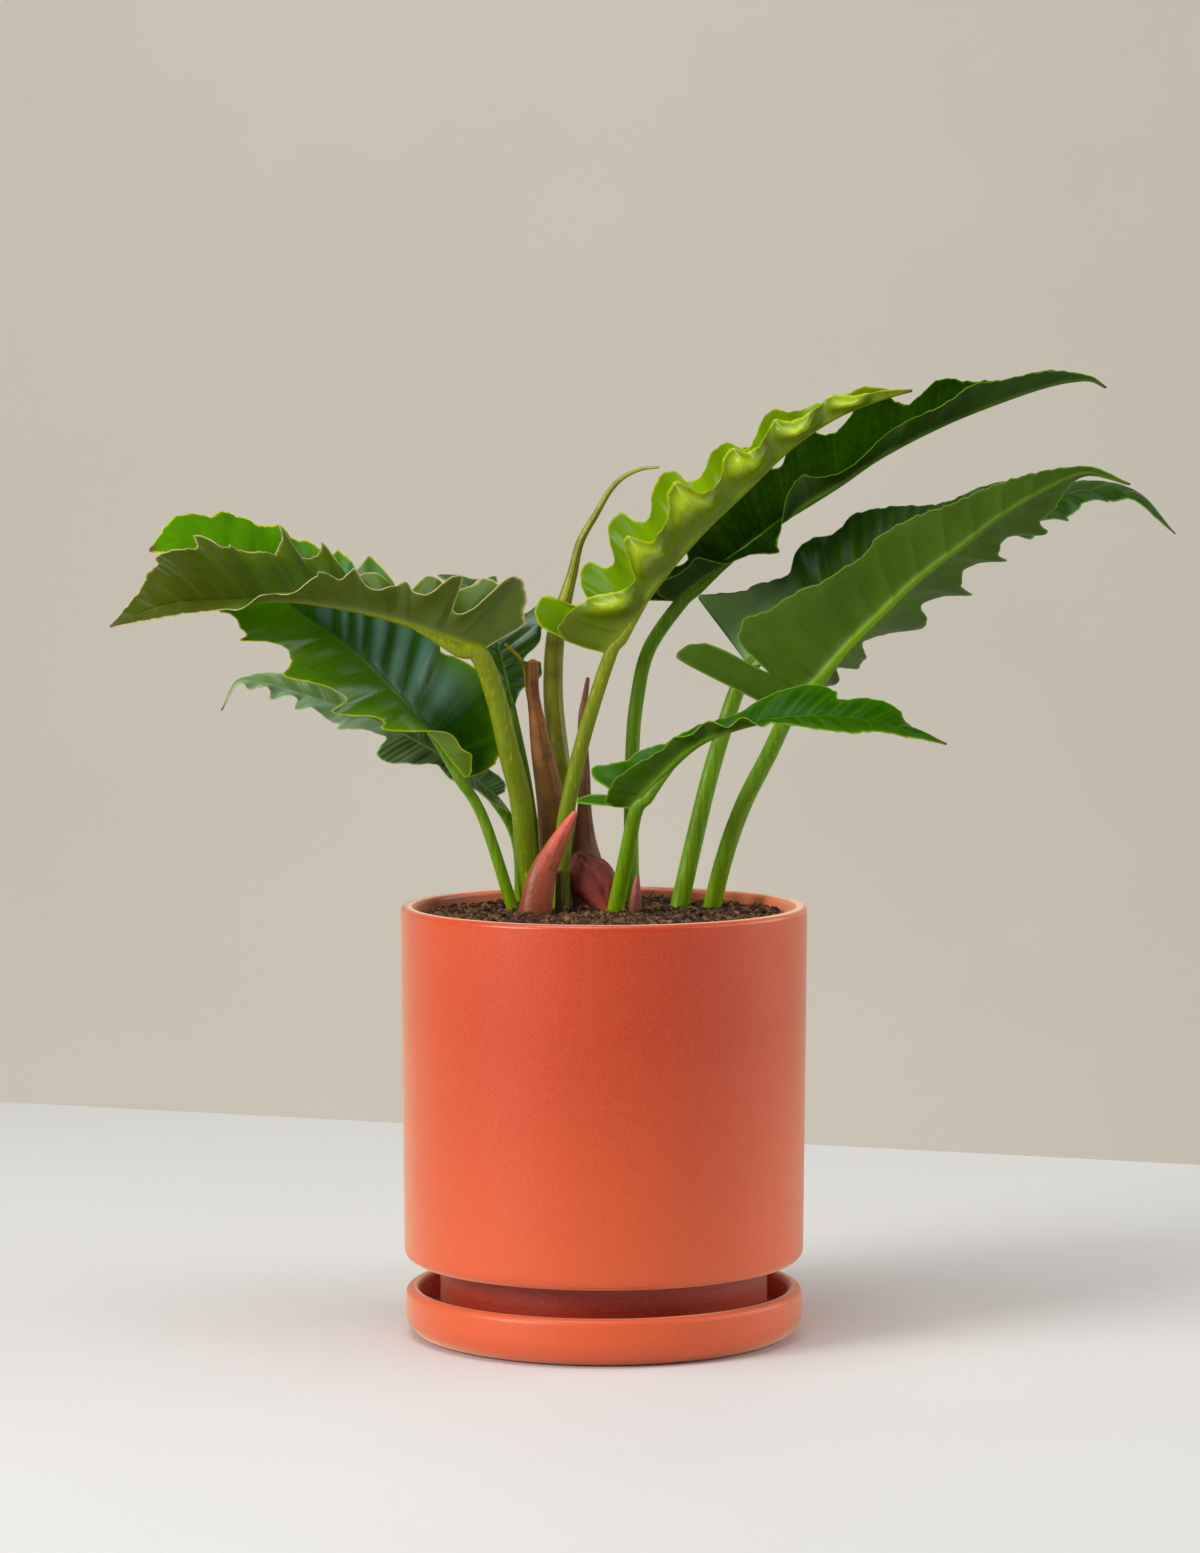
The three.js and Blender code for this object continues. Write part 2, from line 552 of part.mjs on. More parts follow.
// A tube along a curve, closed at both ends. radiusAt gives the radius at a place from 0 to 1, and a flat
// below 1 makes the section narrower from front to back. extra widens it all round and at both ends.
function tube(curve, radiusAt, sides, flat, extra) {
  const length = curve.getLength();
  const steps = Math.max(FEWEST_STEPS, Math.round(length / STALK_STEP));
  const points = [];
  const triangles = [];
  let across = new THREE.Vector3(1, 0, 0);
  for (let i = 0; i <= steps; i += 1) {
    const s = i / steps;
    const along = curve.getTangentAt(s);
    across = across.clone().addScaledVector(along, -across.dot(along)).normalize();
    const back = along.clone().cross(across);
    const end = extra * ((i === steps ? 1 : 0) - (i === 0 ? 1 : 0));
    const center = curve.getPointAt(s).addScaledVector(along, end);
    for (let j = 0; j < sides; j += 1) {
      const a = (2 * Math.PI * j) / sides;
      const p = center.clone().addScaledVector(across, Math.cos(a) * (radiusAt(s) + extra));
      points.push(p.addScaledVector(back, Math.sin(a) * (radiusAt(s) * flat + extra)));
    }
  }
  for (let i = 0; i < steps; i += 1) {
    for (let j = 0; j < sides; j += 1) {
      const a = i * sides + j;
      const b = i * sides + ((j + 1) % sides);
      triangles.push(a, b, b + sides, a, b + sides, a + sides);
    }
  }
  const top = steps * sides;
  for (let j = 1; j < sides - 1; j += 1) {
    triangles.push(0, j + 1, j);
    triangles.push(top, top + j, top + j + 1);
  }
  return closedMesh(points, triangles);
}

// A smooth curve through points.
function smoothCurve(points) {
  const through = points.map((p) => new THREE.Vector3(...p));
  return new THREE.CatmullRomCurve3(through, false, "catmullrom", 0.5);
}

// A smooth curve through route points whose first one lies on the soil: it starts ROOTED_DEPTH lower.
function rootedCurve([start, next, ...rest]) {
  const lean = new THREE.Vector3(...next).sub(new THREE.Vector3(...start)).normalize();
  const root = new THREE.Vector3(...start).addScaledVector(lean, -ROOTED_DEPTH / lean.z);
  return smoothCurve([root.toArray(), next, ...rest]);
}

// The directions of a midrib at place s: along it, to its right, and off its top face.
function midribFrame(curve, s) {
  const along = curve.getTangentAt(THREE.MathUtils.clamp(s, 0, 1));
  const right = along.clone().cross(UP).normalize();
  return { along, right, top: right.clone().cross(along) };
}

// The reach of a half blade at place s.
function reachAt(margin, s) {
  const k = Math.max(margin.findIndex(([place]) => place >= s), 1);
  const [place, reach] = margin[k - 1];
  const [nextPlace, nextReach] = margin[k];
  return Math.max(THREE.MathUtils.lerp(reach, nextReach, (s - place) / (nextPlace - place)), LEAST_REACH);
}

// The places of a margin's sinuses, where its reach is less than on both sides.
function sinusPlaces(margin) {
  const inner = margin.slice(1, -1);
  const sinuses = inner.filter(([, reach], i) => reach < margin[i][1] && reach <= margin[i + 2][1]);
  return sinuses.map(([place]) => place);
}

// Which tooth a place on the midrib belongs to, as a count that grows by 1 from sinus to sinus.
function toothCount(sinuses, s) {
  const first = 2 * sinuses[0] - sinuses[1];
  const last = 2 * sinuses.at(-1) - sinuses.at(-2);
  const marks = [first, ...sinuses, last];
  const k = marks.findLastIndex((mark) => s >= mark);
  if (k < 0) {
    return -1;
  }
  if (k >= marks.length - 1) {
    return marks.length - 2;
  }
  return k - 1 + (s - marks[k]) / (marks[k + 1] - marks[k]);
}

// The point of a half blade at place s of the midrib and at share q of the way to the margin.
// It lies v = q reach away from the midrib and u = s L + v tan(sweep) along it, on an arc that leaves the
// midrib at the rise and turns by the curl. The ruffle lifts it by a wave tied to the teeth, and the pouch
// sinks it inside each tooth.
function bladePoint(curve, half, side, sweep, s, q) {
  const length = curve.getLength();
  const { margin, ruffle, curl: curls = [0, 0], pouch = 0 } = half;
  const count = toothCount(sinusPlaces(margin), s);
  const v = q * reachAt(margin, s);
  const u = s * length + v * Math.tan(radians(run(sweep, s)));
  const place = THREE.MathUtils.clamp(u / length, 0, 1);
  const frame = midribFrame(curve, place);
  const rise = radians(run(half.rise, place));
  const curl = q * radians(run(curls, place)) + SMALLEST_ANGLE;
  const out = (v / curl) * (Math.sin(rise + curl) - Math.sin(rise));
  const lift = (v / curl) * (Math.cos(rise) - Math.cos(rise + curl));
  const grown = THREE.MathUtils.smoothstep(s, ...RUFFLE_GROWS);
  const faded = THREE.MathUtils.smoothstep(s, ...RUFFLE_FADES);
  const ripple = ruffle * q * q * Math.sin(2 * Math.PI * count);
  const sunk = pouch * Math.sin(Math.PI * q ** POUCH_LEAN) * Math.sin(Math.PI * count) ** 2;
  const wave = grown * (1 - faded) * (ripple - sunk);
  return curve
    .getPointAt(place)
    .addScaledVector(frame.along, u - place * length)
    .addScaledVector(frame.right, side * (out - wave * Math.sin(rise + curl)))
    .addScaledVector(frame.top, lift + wave * Math.cos(rise + curl));
}

// The places of a blade's rows: its base, its tip, and the margin points of both halves that stand far enough
// apart, where the tips of teeth and the sinuses come first.
function rowPlaces(leaf) {
  const marks = [leaf.near, leaf.far].flatMap(({ margin }) =>
    margin.slice(1, -1).map(([place, reach], i) => {
      const turns = (reach - margin[i][1]) * (margin[i + 2][1] - reach) <= 0;
      return { place, order: turns ? 0 : 1 };
    }),
  );
  const places = [0, 1];
  marks.sort((a, b) => a.order - b.order).forEach(({ place }) => {
    if (places.every((other) => Math.abs(other - place) >= CLOSEST_ROWS)) {
      places.push(place);
    }
  });
  return places.sort((a, b) => a - b);
}

// A leaf blade as one closed body: a top face, the same face lowered by the thickness, and its rims.
function blade(leaf) {
  const curve = smoothCurve(leaf.midrib);
  const places = rowPlaces(leaf);
  const columns = 2 * COLUMNS_PER_HALF + 1;
  const [leftHalf, rightHalf] = leaf.leansLeft ? [leaf.near, leaf.far] : [leaf.far, leaf.near];
  const top = places.flatMap((s) =>
    Array.from({ length: columns }, (_, j) => {
      const q = (j - COLUMNS_PER_HALF) / COLUMNS_PER_HALF;
      const half = q < 0 ? leftHalf : rightHalf;
      return bladePoint(curve, half, Math.sign(q) || 1, leaf.sweep, s, Math.abs(q));
    }),
  );
  const face = [];
  for (let i = 0; i < places.length - 1; i += 1) {
    for (let j = 0; j < columns - 1; j += 1) {
      const a = i * columns + j;
      face.push([a, a + 1, a + columns + 1], [a, a + columns + 1, a + columns]);
    }
  }
  const skin = closedMesh(top, face.flat()).getAttribute("normal");
  const bottom = top.map((p, i) => {
    const middle = i % columns === COLUMNS_PER_HALF;
    const s = places[Math.floor(i / columns)];
    const depth = middle ? THREE.MathUtils.lerp(RIDGE_AT_BASE, RIDGE_AT_TIP, s) : BLADE_THICKNESS;
    return p.clone().addScaledVector(new THREE.Vector3().fromBufferAttribute(skin, i), -depth);
  });
  const under = top.length;
  const triangles = face.flatMap(([a, b, c]) => [a, b, c, a + under, c + under, b + under]);
  const rim = (a, b) => triangles.push(a, a + under, b + under, a, b + under, b);
  const lastRow = (places.length - 1) * columns;
  for (let j = 0; j < columns - 1; j += 1) {
    rim(j, j + 1);
    rim(lastRow + j + 1, lastRow + j);
  }
  for (let i = 0; i < lastRow; i += columns) {
    rim(i + columns, i);
    rim(i + columns - 1, i + 2 * columns - 1);
  }
  return closedMesh([...top, ...bottom], triangles);
}

// A leaf's stalk ends just under the base of its midrib.
function stalkCurve(leaf) {
  const midrib = smoothCurve(leaf.midrib);
  const end = midrib.getPointAt(0).addScaledVector(midribFrame(midrib, 0).top, -STALK_DROP);
  return rootedCurve([...leaf.stalk, end.toArray()]);
}

function stalk(leaf, extra) {
  const [low, high] = leaf.stalkRadius;
  return tube(stalkCurve(leaf), (s) => THREE.MathUtils.lerp(low, high, s), STALK_SIDES, 1, extra);
}

function shoot({ route, radius, flat }, extra) {
  return tube(rootedCurve(route), (s) => run(radius, s), STALK_SIDES, flat, extra);
}

function piece(name, geometry, look) {
  const mesh = new THREE.Mesh(geometry, new THREE.MeshStandardMaterial(look));
  mesh.name = name;
  return mesh;
}

function wholePlant() {
  const group = new THREE.Group();
  group.name = "potted_philodendron";
  const stalkHoles = LEAVES.map((leaf) => stalk(leaf, CLEARANCE));
  const shootHoles = SHOOTS.map((part) => shoot(part, CLEARANCE));
  group.add(piece("saucer", saucer(), CLAY));
  group.add(piece("pot", pot(), CLAY));
  group.add(piece("soil", soil([...stalkHoles, ...shootHoles]), POTTING_MIX));
  LEAVES.forEach((leaf, i) => {
    const look = { color: leaf.color, roughness: LEAF_ROUGHNESS };
    group.add(piece("blade_" + leaf.name, cut(blade(leaf), [stalkHoles[i]]), look));
    group.add(piece("stalk_" + leaf.name, stalk(leaf, 0), STALK_GREEN));
  });
  SHOOTS.forEach((part) => {
    group.add(piece(part.name, shoot(part, 0), { color: part.color, roughness: SHOOT_ROUGHNESS }));
  });
  return group;
}

export default wholePlant();
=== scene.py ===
"""A potted philodendron with deeply toothed leaves: its fine surfaces, materials, light and camera.

The tables are in millimetres and degrees, and a mesh is turned into metres when it is made.
"""
import math

import bpy
import numpy as np
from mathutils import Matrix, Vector


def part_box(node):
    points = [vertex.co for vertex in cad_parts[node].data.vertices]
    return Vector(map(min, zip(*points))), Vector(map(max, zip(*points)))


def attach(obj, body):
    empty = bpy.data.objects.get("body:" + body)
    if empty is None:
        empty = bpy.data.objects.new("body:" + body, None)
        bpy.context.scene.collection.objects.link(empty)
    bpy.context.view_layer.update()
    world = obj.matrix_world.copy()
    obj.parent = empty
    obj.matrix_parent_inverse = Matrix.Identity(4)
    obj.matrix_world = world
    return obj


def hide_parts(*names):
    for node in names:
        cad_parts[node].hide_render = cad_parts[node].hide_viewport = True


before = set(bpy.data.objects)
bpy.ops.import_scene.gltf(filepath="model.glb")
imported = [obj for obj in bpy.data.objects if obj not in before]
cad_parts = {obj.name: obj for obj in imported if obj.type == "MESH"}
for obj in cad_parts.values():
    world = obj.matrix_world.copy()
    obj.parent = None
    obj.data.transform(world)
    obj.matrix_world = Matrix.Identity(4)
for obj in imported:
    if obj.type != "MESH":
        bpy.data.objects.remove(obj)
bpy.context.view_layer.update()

MM = 0.001
BODY = "root"
UP = np.array([0.0, 0.0, 1.0])
SHARP_ANGLE = math.radians(50)
SEED = 11
SMALLEST_LENGTH = 1e-9
SMALLEST_ANGLE = 1e-6
WAVE_STARTS = (0, 6)

# Camera: the photograph's view, in metres and degrees
IMAGE_HEIGHT = 1553
FOCAL_PIXELS = 4700
SENSOR = 36
CAMERA_PLACE = (-0.00193, -2.337, 0.4489)
CAMERA_PITCH = 4.15

# Room, in metres: the table's corners, whose back edge runs slightly askew, and the wall behind it
TABLE_CORNERS = ((-3, -3), (3, -3), (3, -0.395), (-3, 1.732))
TABLE_THICKNESS = 0.04
WALL_CORNERS = ((-8, 3.8, -4), (8, 3.8, -4), (8, 3.8, 6), (-8, 3.8, 6))
ROOM_COLOUR = (212, 203, 188)
ROOM_STRENGTH = 0.27

# Lights: name, place, target, width and height in metres, power in watts, and colour
LIGHTS = (
    ("key_left", (-1.85, -1.3, 1.15), (-0.1, 0, 0.2), (1.0, 0.9), 47, (1.0, 0.99, 0.97)),
    ("top_soft", (-0.4, -0.4, 2.3), (0, 0, 0.25), (1.4, 1.0), 31, (0.9, 0.96, 1.0)),
    ("fill_right", (1.85, -0.75, 1.0), (-0.1, 0, 0.3), (1.0, 1.2), 9, (0.86, 0.94, 1.0)),
    ("rim_right", (1.9, 0.5, 0.8), (0, 0, 0.2), (1.2, 1.1), 16, (1.0, 0.97, 0.92)),
    ("wall_high", (0, 1.7, 2.9), (0, 3.8, 0.9), (4, 0.8), 28, (1.0, 0.99, 0.98)),
    ("wall_low", (0, 2.4, -1.3), (0, 3.8, 0.5), (4, 0.8), 14, (1.0, 0.99, 0.98)),
)

# Pot and saucer, whose outer sizes come from the frame
POT_WALL = 7
POT_EDGE = 37.6
POT_CORNER = 6
POT_CORNER_ARC = (-78, 0)
POT_TAPER = 1.5
POT_SHELF = 45
POT_FILLET = 5
POT_FLOOR = 19
RIM_ROUND = 2.5
FOOT_RADIUS = 82
FOOT_INNER_RADIUS = 75
FOOT_RECESS_RADIUS = 74
FOOT_RECESS = 3
FOOT_ROUND = 2
DRAIN_RADIUS = 6
SAUCER_FLOOR = 8
SAUCER_INNER_RADIUS = 91.5
SAUCER_CORNER = 12
SAUCER_LIP = 3.6
SAUCER_LIP_SET_IN = 0.4
SAUCER_LIP_ARC = (4, 176)
SAUCER_FILLET = 4
TURNED_STEPS = 192
LONGEST_STRETCH = 12

# Potting mix. Each wave in its top has a height, turns per millimetre of x and of y, and a start.
SOIL_GAP = 0.6
SOIL_TOP = 209.5
SOIL_WAVES = (
    (0.33, 0.13, 0.11, 0.8),
    (0.33, 0.13, -0.11, 0.8),
    (0.4, 0.31, -0.23, 0),
    (0.26, 0.19, 0.27, 1),
)
SOIL_BED_DROP = 0.6
SOIL_GRAIN = 0.5
SOIL_RINGS = 60
SOIL_CENTRE = 0.02
SOIL_CORNER_IN = 2
SOIL_CORNER_UP = 1
SOIL_EDGE = 1.5

# Loose bits on the potting mix: how many, smallest and largest size, shape and tones
LOOSE_BITS = {
    "soil_crumbs": dict(count=4200, size=(0.9, 2.6), shape=(1, 1, 0.8), tones=(0.05, 0.8)),
    "bark_chips": dict(count=240, size=(2.2, 4.6), shape=(1.2, 0.6, 0.35), tones=(0.5, 1.0)),
}
BIT_STRETCH = (0.7, 1.3)
BIT_ROUGHNESS = 0.28
BIT_SUNK = 0.25
BITS_INSET = 2.5
BIT_GAP = 0.3

# Margins and the grids of leaves
MARGIN_STEP = 0.3
MARGIN_ROUNDING = 1.0
ROUNDING_REACH = 3
MARGIN_WAVES = ((9.1, 0.3), (5.3, 0.2), (3.1, 0.1))
MARGIN_WAVES_FULL_AT = 12
MARGIN_SAMPLES = 40
CLOSEST_PLACES = 1e-5
ROW_STEPS = 8
EVEN_ROWS = 90
CLOSEST_ROWS = 0.0007
COLUMNS = 18
LEAST_REACH = 0.3
RUFFLE_GROWS = (0.02, 0.12)
RUFFLE_FADES = (0.8, 1)
POUCH_LEAN = 2.2
WIDEST_VEIN_GAP = 0.08
NORMAL_STEP = 0.002
NORMAL_REACH = 0.3

# Relief of leaves. A pair of widths is a share of the midrib's size and what is added to it, and any other
# pair is where a change starts and ends.
BLADE_THICKNESS = 0.9
MARGIN_THICKNESS = 0.4
MARGIN_TAPER = (0, 4)
MARGIN_LINE = (0.15, 0.7)
RIB_SHARE = 0.55
RIB_LEAST = 0.4
RIB_RIDGE = 0.8
RIB_RIDGE_WIDTH = (1.1, 0)
RIB_GROOVE = 0.25
RIB_GROOVE_WIDTH = (0.35, 0.3)
RIB_COLOUR_WIDTH = (0.8, 0.2)
GROOVE_COLOUR_WIDTH = (0.35, 0.15)
VEIN_WIDTH = 0.8
VEIN_RIDGE = 0.2
VEIN_GROOVE = 0.15
VEIN_STARTS = (0.0, 0.08)
VEIN_FADES = (0.6, 1)
SWELL = 0.7
SWELL_FLATNESS = 0.8
SWELL_FROM_VEIN = (0, 6)
SWELL_GROWS = (0.03, 0.15)
SWELL_FADES = (0.75, 1)
STRIPES_A_TOOTH = 9
STRIPES_START = (0, 0.1)

# Stalks and shoots
STALK_DROP = 2.6
STALK_RUNS_ON = (0.05, 0.1, 0.16, 0.22)
STALK_END = 0.26
STALK_THINS = 0.85
STALK_LOBES = 0.03
CHANNEL_DEPTH = 0.06
CHANNEL_PLACE = 1.6
CHANNEL_WIDTH = 0.3
SHOOT_RIBS = 0.02
ROOTED_DEPTH = 15
STALK_SIDES = 32
STALK_STEP = 2.5
LEAST_STEPS = 8
STEPS_CROWD = 0.9
DOME_STEPS = 8
DOME_LAST = 0.03
LEAST_DOME = 0.004
TORN_PART = (0.75, 0.97)
STREAK_WAVES = range(3, 22)
STREAK_HEIGHT = 0.12
STREAK_TWIST = 1.2

# How far the side veins of most leaves lean towards the tip, in degrees, at even stations
PLAIN_SWEEP = [-40, 8, 28, 32, 34, 36, 40]

# Every leaf: the route of its midrib from base to tip, and of its stalk from the soil up.
# near is the half blade towards the front and far the other. A margin is a line of points from base to tip:
# the place on the midrib where the side vein leaves, from 0 to 1, and the reach from there. The rise and the
# curl are in degrees at even stations, and a negative rise hangs down. sweep is like PLAIN_SWEEP.
LEAVES = [
    dict(
        name="left_front", slot="leaf_olive", stalk_slot="stalk_olive", look="olive",
        midrib=[(-61, -4, 343), (-81, -8, 351), (-106, -13, 360), (-133, -18, 366), (-159, -24, 369),
                (-188, -30, 368), (-215, -36, 366), (-241, -40, 356)],
        leans_left=True,
        sweep=PLAIN_SWEEP,
        near=dict(
            margin=[(0, 0), (0.001, 10), (0.004, 20), (0.02, 24), (0.04, 34), (0.058, 40), (0.07, 41.5),
                    (0.078, 38), (0.084, 28), (0.09, 20), (0.1, 16), (0.118, 15), (0.124, 24), (0.128, 33),
                    (0.136, 36.5), (0.15, 34), (0.162, 28), (0.178, 23), (0.2, 21), (0.215, 26), (0.23, 22),
                    (0.255, 21), (0.298, 20.5), (0.303, 31), (0.332, 27), (0.36, 26), (0.38, 35), (0.4, 27),
                    (0.5, 22), (0.52, 26), (0.56, 21), (0.65, 19), (0.712, 17), (0.825, 13.5), (0.93, 6),
                    (1, 0.5)],
            rise=[75, 52, 40, 32, 8, -10, -20, -20], ruffle=2,
        ),
        far=dict(
            margin=[(0, 0), (0.002, 14), (0.01, 26), (0.05, 36), (0.09, 41), (0.1, 34), (0.13, 28),
                    (0.16, 33), (0.185, 25), (0.217, 24.5), (0.265, 29), (0.317, 21.5), (0.33, 25),
                    (0.345, 35), (0.36, 29), (0.42, 24), (0.424, 40), (0.44, 32), (0.487, 22.5),
                    (0.555, 25), (0.567, 29), (0.58, 26), (0.6, 27), (0.637, 35), (0.65, 29), (0.675, 26.5),
                    (0.747, 27), (0.76, 22), (0.79, 19.5), (0.85, 12), (0.93, 6), (1, 0.5)],
            rise=[60, 52, 36, 52, 72, 76, 66, 40], ruffle=3,
        ),
        stalk=[(-35.5, 30, 208), (-38.5, 28, 231), (-42, 22, 266), (-47.5, 14, 290), (-54, 5, 319)],
        stalk_radius=(6, 5),
    ),
    dict(
        name="left_broad", slot="leaf_dark", stalk_slot="stalk_green", look="bright_edge",
        midrib=[(-70, 14, 278), (-87, 10, 302), (-104, 6, 321), (-125, 2, 342), (-147, 0, 358),
                (-168, 0, 373), (-191, 2, 387), (-211, 4, 396), (-226, 6, 392)],
        leans_left=True,
        sweep=PLAIN_SWEEP,
        near=dict(
            margin=[(0, 0), (0.008, 3), (0.042, 8), (0.072, 13), (0.087, 11), (0.16, 20), (0.177, 22),
                    (0.212, 28), (0.22, 22.5), (0.262, 30), (0.287, 36.5), (0.297, 25), (0.33, 29),
                    (0.4, 35), (0.425, 36), (0.435, 31), (0.457, 25), (0.485, 23), (0.505, 26.5),
                    (0.54, 36.5), (0.55, 31), (0.565, 28), (0.602, 27), (0.65, 27), (0.68, 20), (0.72, 24),
                    (0.75, 26), (0.77, 18), (0.83, 19), (0.85, 13), (0.92, 8), (1, 0.5)],
            rise=[70, 0, -50, -52, -50, -46, -40, -40], ruffle=2.5,
        ),
        far=dict(
            margin=[(0, 0), (0.01, 8), (0.03, 20), (0.05, 29), (0.06, 37), (0.085, 42), (0.11, 45),
                    (0.142, 46), (0.16, 44), (0.19, 39), (0.205, 35.5), (0.222, 41), (0.26, 46), (0.29, 38),
                    (0.35, 46), (0.38, 47), (0.41, 37), (0.47, 40), (0.5, 34), (0.56, 34), (0.6, 30),
                    (0.627, 33), (0.66, 30.5), (0.69, 27), (0.75, 27), (0.787, 25), (0.81, 20), (0.867, 17),
                    (0.932, 8), (1, 0.5)],
            rise=[60, 62, 64, 66, 66, 62, 56, 50], ruffle=1.2,
        ),
        stalk=[(-46, 24, 210), (-60, 20, 255)],
        stalk_radius=(3.2, 2.6),
    ),
    dict(
        name="left_low", slot="leaf_grey", stalk_slot="stalk_green", look="grey_and_painted_sheen",
        midrib=[(-54, 38, 267), (-75, 34, 283), (-98, 32, 297), (-123, 32, 309), (-151, 32, 319),
                (-172, 32, 325), (-185, 32, 325), (-193, 30, 311)],
        leans_left=True,
        sweep=PLAIN_SWEEP,
        near=dict(
            margin=[(0, 0), (0.004, 10), (0.05, 14), (0.12, 12), (0.16, 9), (0.2, 7.5), (0.225, 14),
                    (0.24, 18), (0.29, 22), (0.335, 19), (0.352, 13), (0.362, 8), (0.4, 10), (0.487, 15.5),
                    (0.505, 11), (0.58, 10), (0.655, 10), (0.672, 5.5), (0.74, 9), (0.76, 6), (0.835, 6),
                    (0.9, 2), (1, 0.5)],
            rise=[-20, -35, -42, -42, -40, -40, -30, -20], ruffle=2.5,
        ),
        far=dict(
            margin=[(0, 0), (0.004, 4), (0.03, 8), (0.082, 11), (0.112, 8), (0.13, 9), (0.18, 24),
                    (0.22, 20), (0.3, 28), (0.35, 20), (0.43, 26), (0.48, 18), (0.55, 21), (0.61, 16),
                    (0.69, 18.5), (0.74, 12), (0.8, 9), (0.852, 4), (0.925, 1.5), (1, 0.5)],
            rise=[70, 45, 35, 40, 40, 30, 20, 0], ruffle=2.5,
        ),
        stalk=[(-43, 60, 209), (-43, 54, 233), (-47, 46, 251)],
        stalk_radius=(3.2, 2.8),
    ),
    dict(
        name="back_small", slot="leaf_dark", stalk_slot="stalk_green", look="deep",
        midrib=[(-46, 44, 312), (-50, 50, 328), (-55, 58, 345), (-61, 68, 360), (-70, 80, 371),
                (-85, 92, 377)],
        leans_left=True,
        sweep=PLAIN_SWEEP,
        near=dict(
            margin=[(0, 0), (0.01, 8), (0.08, 18), (0.16, 12), (0.26, 22), (0.34, 13), (0.45, 20),
                    (0.53, 11), (0.63, 15), (0.72, 7), (0.85, 6), (1, 0.5)],
            rise=[30, 30, 20, 10, 0, 0], ruffle=2.5,
        ),
        far=dict(
            margin=[(0, 0), (0.03, 2), (0.06, 3), (0.11, 8), (0.147, 20), (0.19, 22), (0.208, 14),
                    (0.225, 11.5), (0.245, 21), (0.282, 25), (0.375, 29), (0.4, 20), (0.457, 16),
                    (0.53, 26), (0.6, 12), (0.68, 18), (0.76, 8), (0.88, 6), (1, 0.5)],
            rise=[10, 10, 14, 20, 20, 20], ruffle=2.5,
        ),
        stalk=[(-30, 68, 208), (-34, 64, 232), (-40, 54, 274)],
        stalk_radius=(3.2, 2.8),
    ),
    dict(
        name="centre_young", slot="leaf_young", stalk_slot="stalk_olive", look="young",
        midrib=[(1, 22, 340), (18, 17, 364), (34, 12, 385), (50, 8, 403), (70, 4, 422), (92, 0, 443),
                (114, -3, 458), (136, -7, 467), (152, -10, 471)],
        leans_left=False,
        sweep=[-22, 2, 10, 14, 18, 24, 32],
        near=dict(
            margin=[(0, 0), (0.003, 10), (0.012, 22), (0.03, 28), (0.06, 29), (0.09, 26), (0.12, 22),
                    (0.145, 15.5), (0.185, 10.5), (0.215, 20), (0.237, 29), (0.255, 30), (0.275, 19.5),
                    (0.312, 18), (0.345, 20), (0.372, 30), (0.402, 32), (0.432, 18), (0.482, 14),
                    (0.52, 20), (0.55, 22), (0.58, 14), (0.63, 13), (0.66, 16), (0.7, 10), (0.77, 9),
                    (0.8, 10), (0.85, 6), (0.94, 3), (1, 0.5)],
            rise=[60, 52, 48, 48, 54, 64, 70, 70], ruffle=2, pouch=9,
        ),
        far=dict(
            margin=[(0, 0), (0.001, 8), (0.003, 26), (0.01, 46), (0.028, 56), (0.055, 59), (0.061, 44),
                    (0.068, 32), (0.082, 28.5), (0.09, 33), (0.115, 43.5), (0.133, 48), (0.141, 38),
                    (0.15, 35), (0.172, 34.5), (0.178, 37), (0.205, 46), (0.237, 48), (0.248, 38),
                    (0.27, 33), (0.295, 31), (0.335, 37), (0.365, 40), (0.385, 37), (0.397, 28), (0.45, 24),
                    (0.507, 28), (0.533, 27.5), (0.56, 19), (0.592, 16), (0.645, 21), (0.667, 20),
                    (0.702, 14), (0.765, 12), (0.802, 11), (0.832, 8), (0.87, 8), (0.94, 3), (1, 0.5)],
            rise=[50, 50, 52, 54, 56, 60, 64, 64], ruffle=5, curl=[20, 20, 10],
        ),
        stalk=[(-22, 28, 212), (-21, 28, 240), (-18, 27, 264), (-10, 25, 298)],
        stalk_radius=(4.6, 3.4),
    ),
    dict(
        name="back_tall", slot="leaf_dark", stalk_slot="stalk_green", look="deep_matt",
        midrib=[(37, 60, 365), (52, 58, 378), (72, 55, 393), (91, 52, 407), (118, 48, 424), (140, 44, 439),
                (171, 40, 455), (201, 36, 467), (226, 34, 475), (243, 32, 477), (252, 30, 473)],
        leans_left=False,
        sweep=[-50, 0, 20, 26, 30, 34, 38],
        near=dict(
            margin=[(0, 0), (0.008, 5), (0.03, 13), (0.055, 14), (0.077, 11), (0.1, 12), (0.14, 19),
                    (0.155, 17), (0.2, 21), (0.222, 26), (0.228, 17), (0.24, 10), (0.267, 8), (0.31, 12),
                    (0.342, 14), (0.352, 11), (0.385, 9), (0.48, 8), (0.54, 10), (0.595, 13.5), (0.65, 15),
                    (0.705, 16), (0.76, 12), (0.862, 8), (0.94, 3), (1, 0.5)],
            rise=[60, 40, -20, -25, 55, 45, 35, 40, 45, 50, 55, 60, 60], ruffle=3,
        ),
        far=dict(
            margin=[(0, 0), (0.003, 8), (0.01, 22), (0.03, 32), (0.055, 30), (0.075, 16), (0.09, 13.5),
                    (0.1, 20), (0.125, 40), (0.155, 42), (0.175, 30), (0.195, 25.5), (0.21, 33),
                    (0.235, 46), (0.255, 42), (0.275, 28), (0.3, 27), (0.315, 34), (0.335, 46), (0.355, 44),
                    (0.37, 32), (0.4, 27), (0.44, 26), (0.465, 30), (0.48, 33), (0.51, 31), (0.527, 26),
                    (0.56, 19), (0.587, 18.5), (0.635, 22), (0.722, 14.5), (0.762, 10.5), (0.862, 8.5),
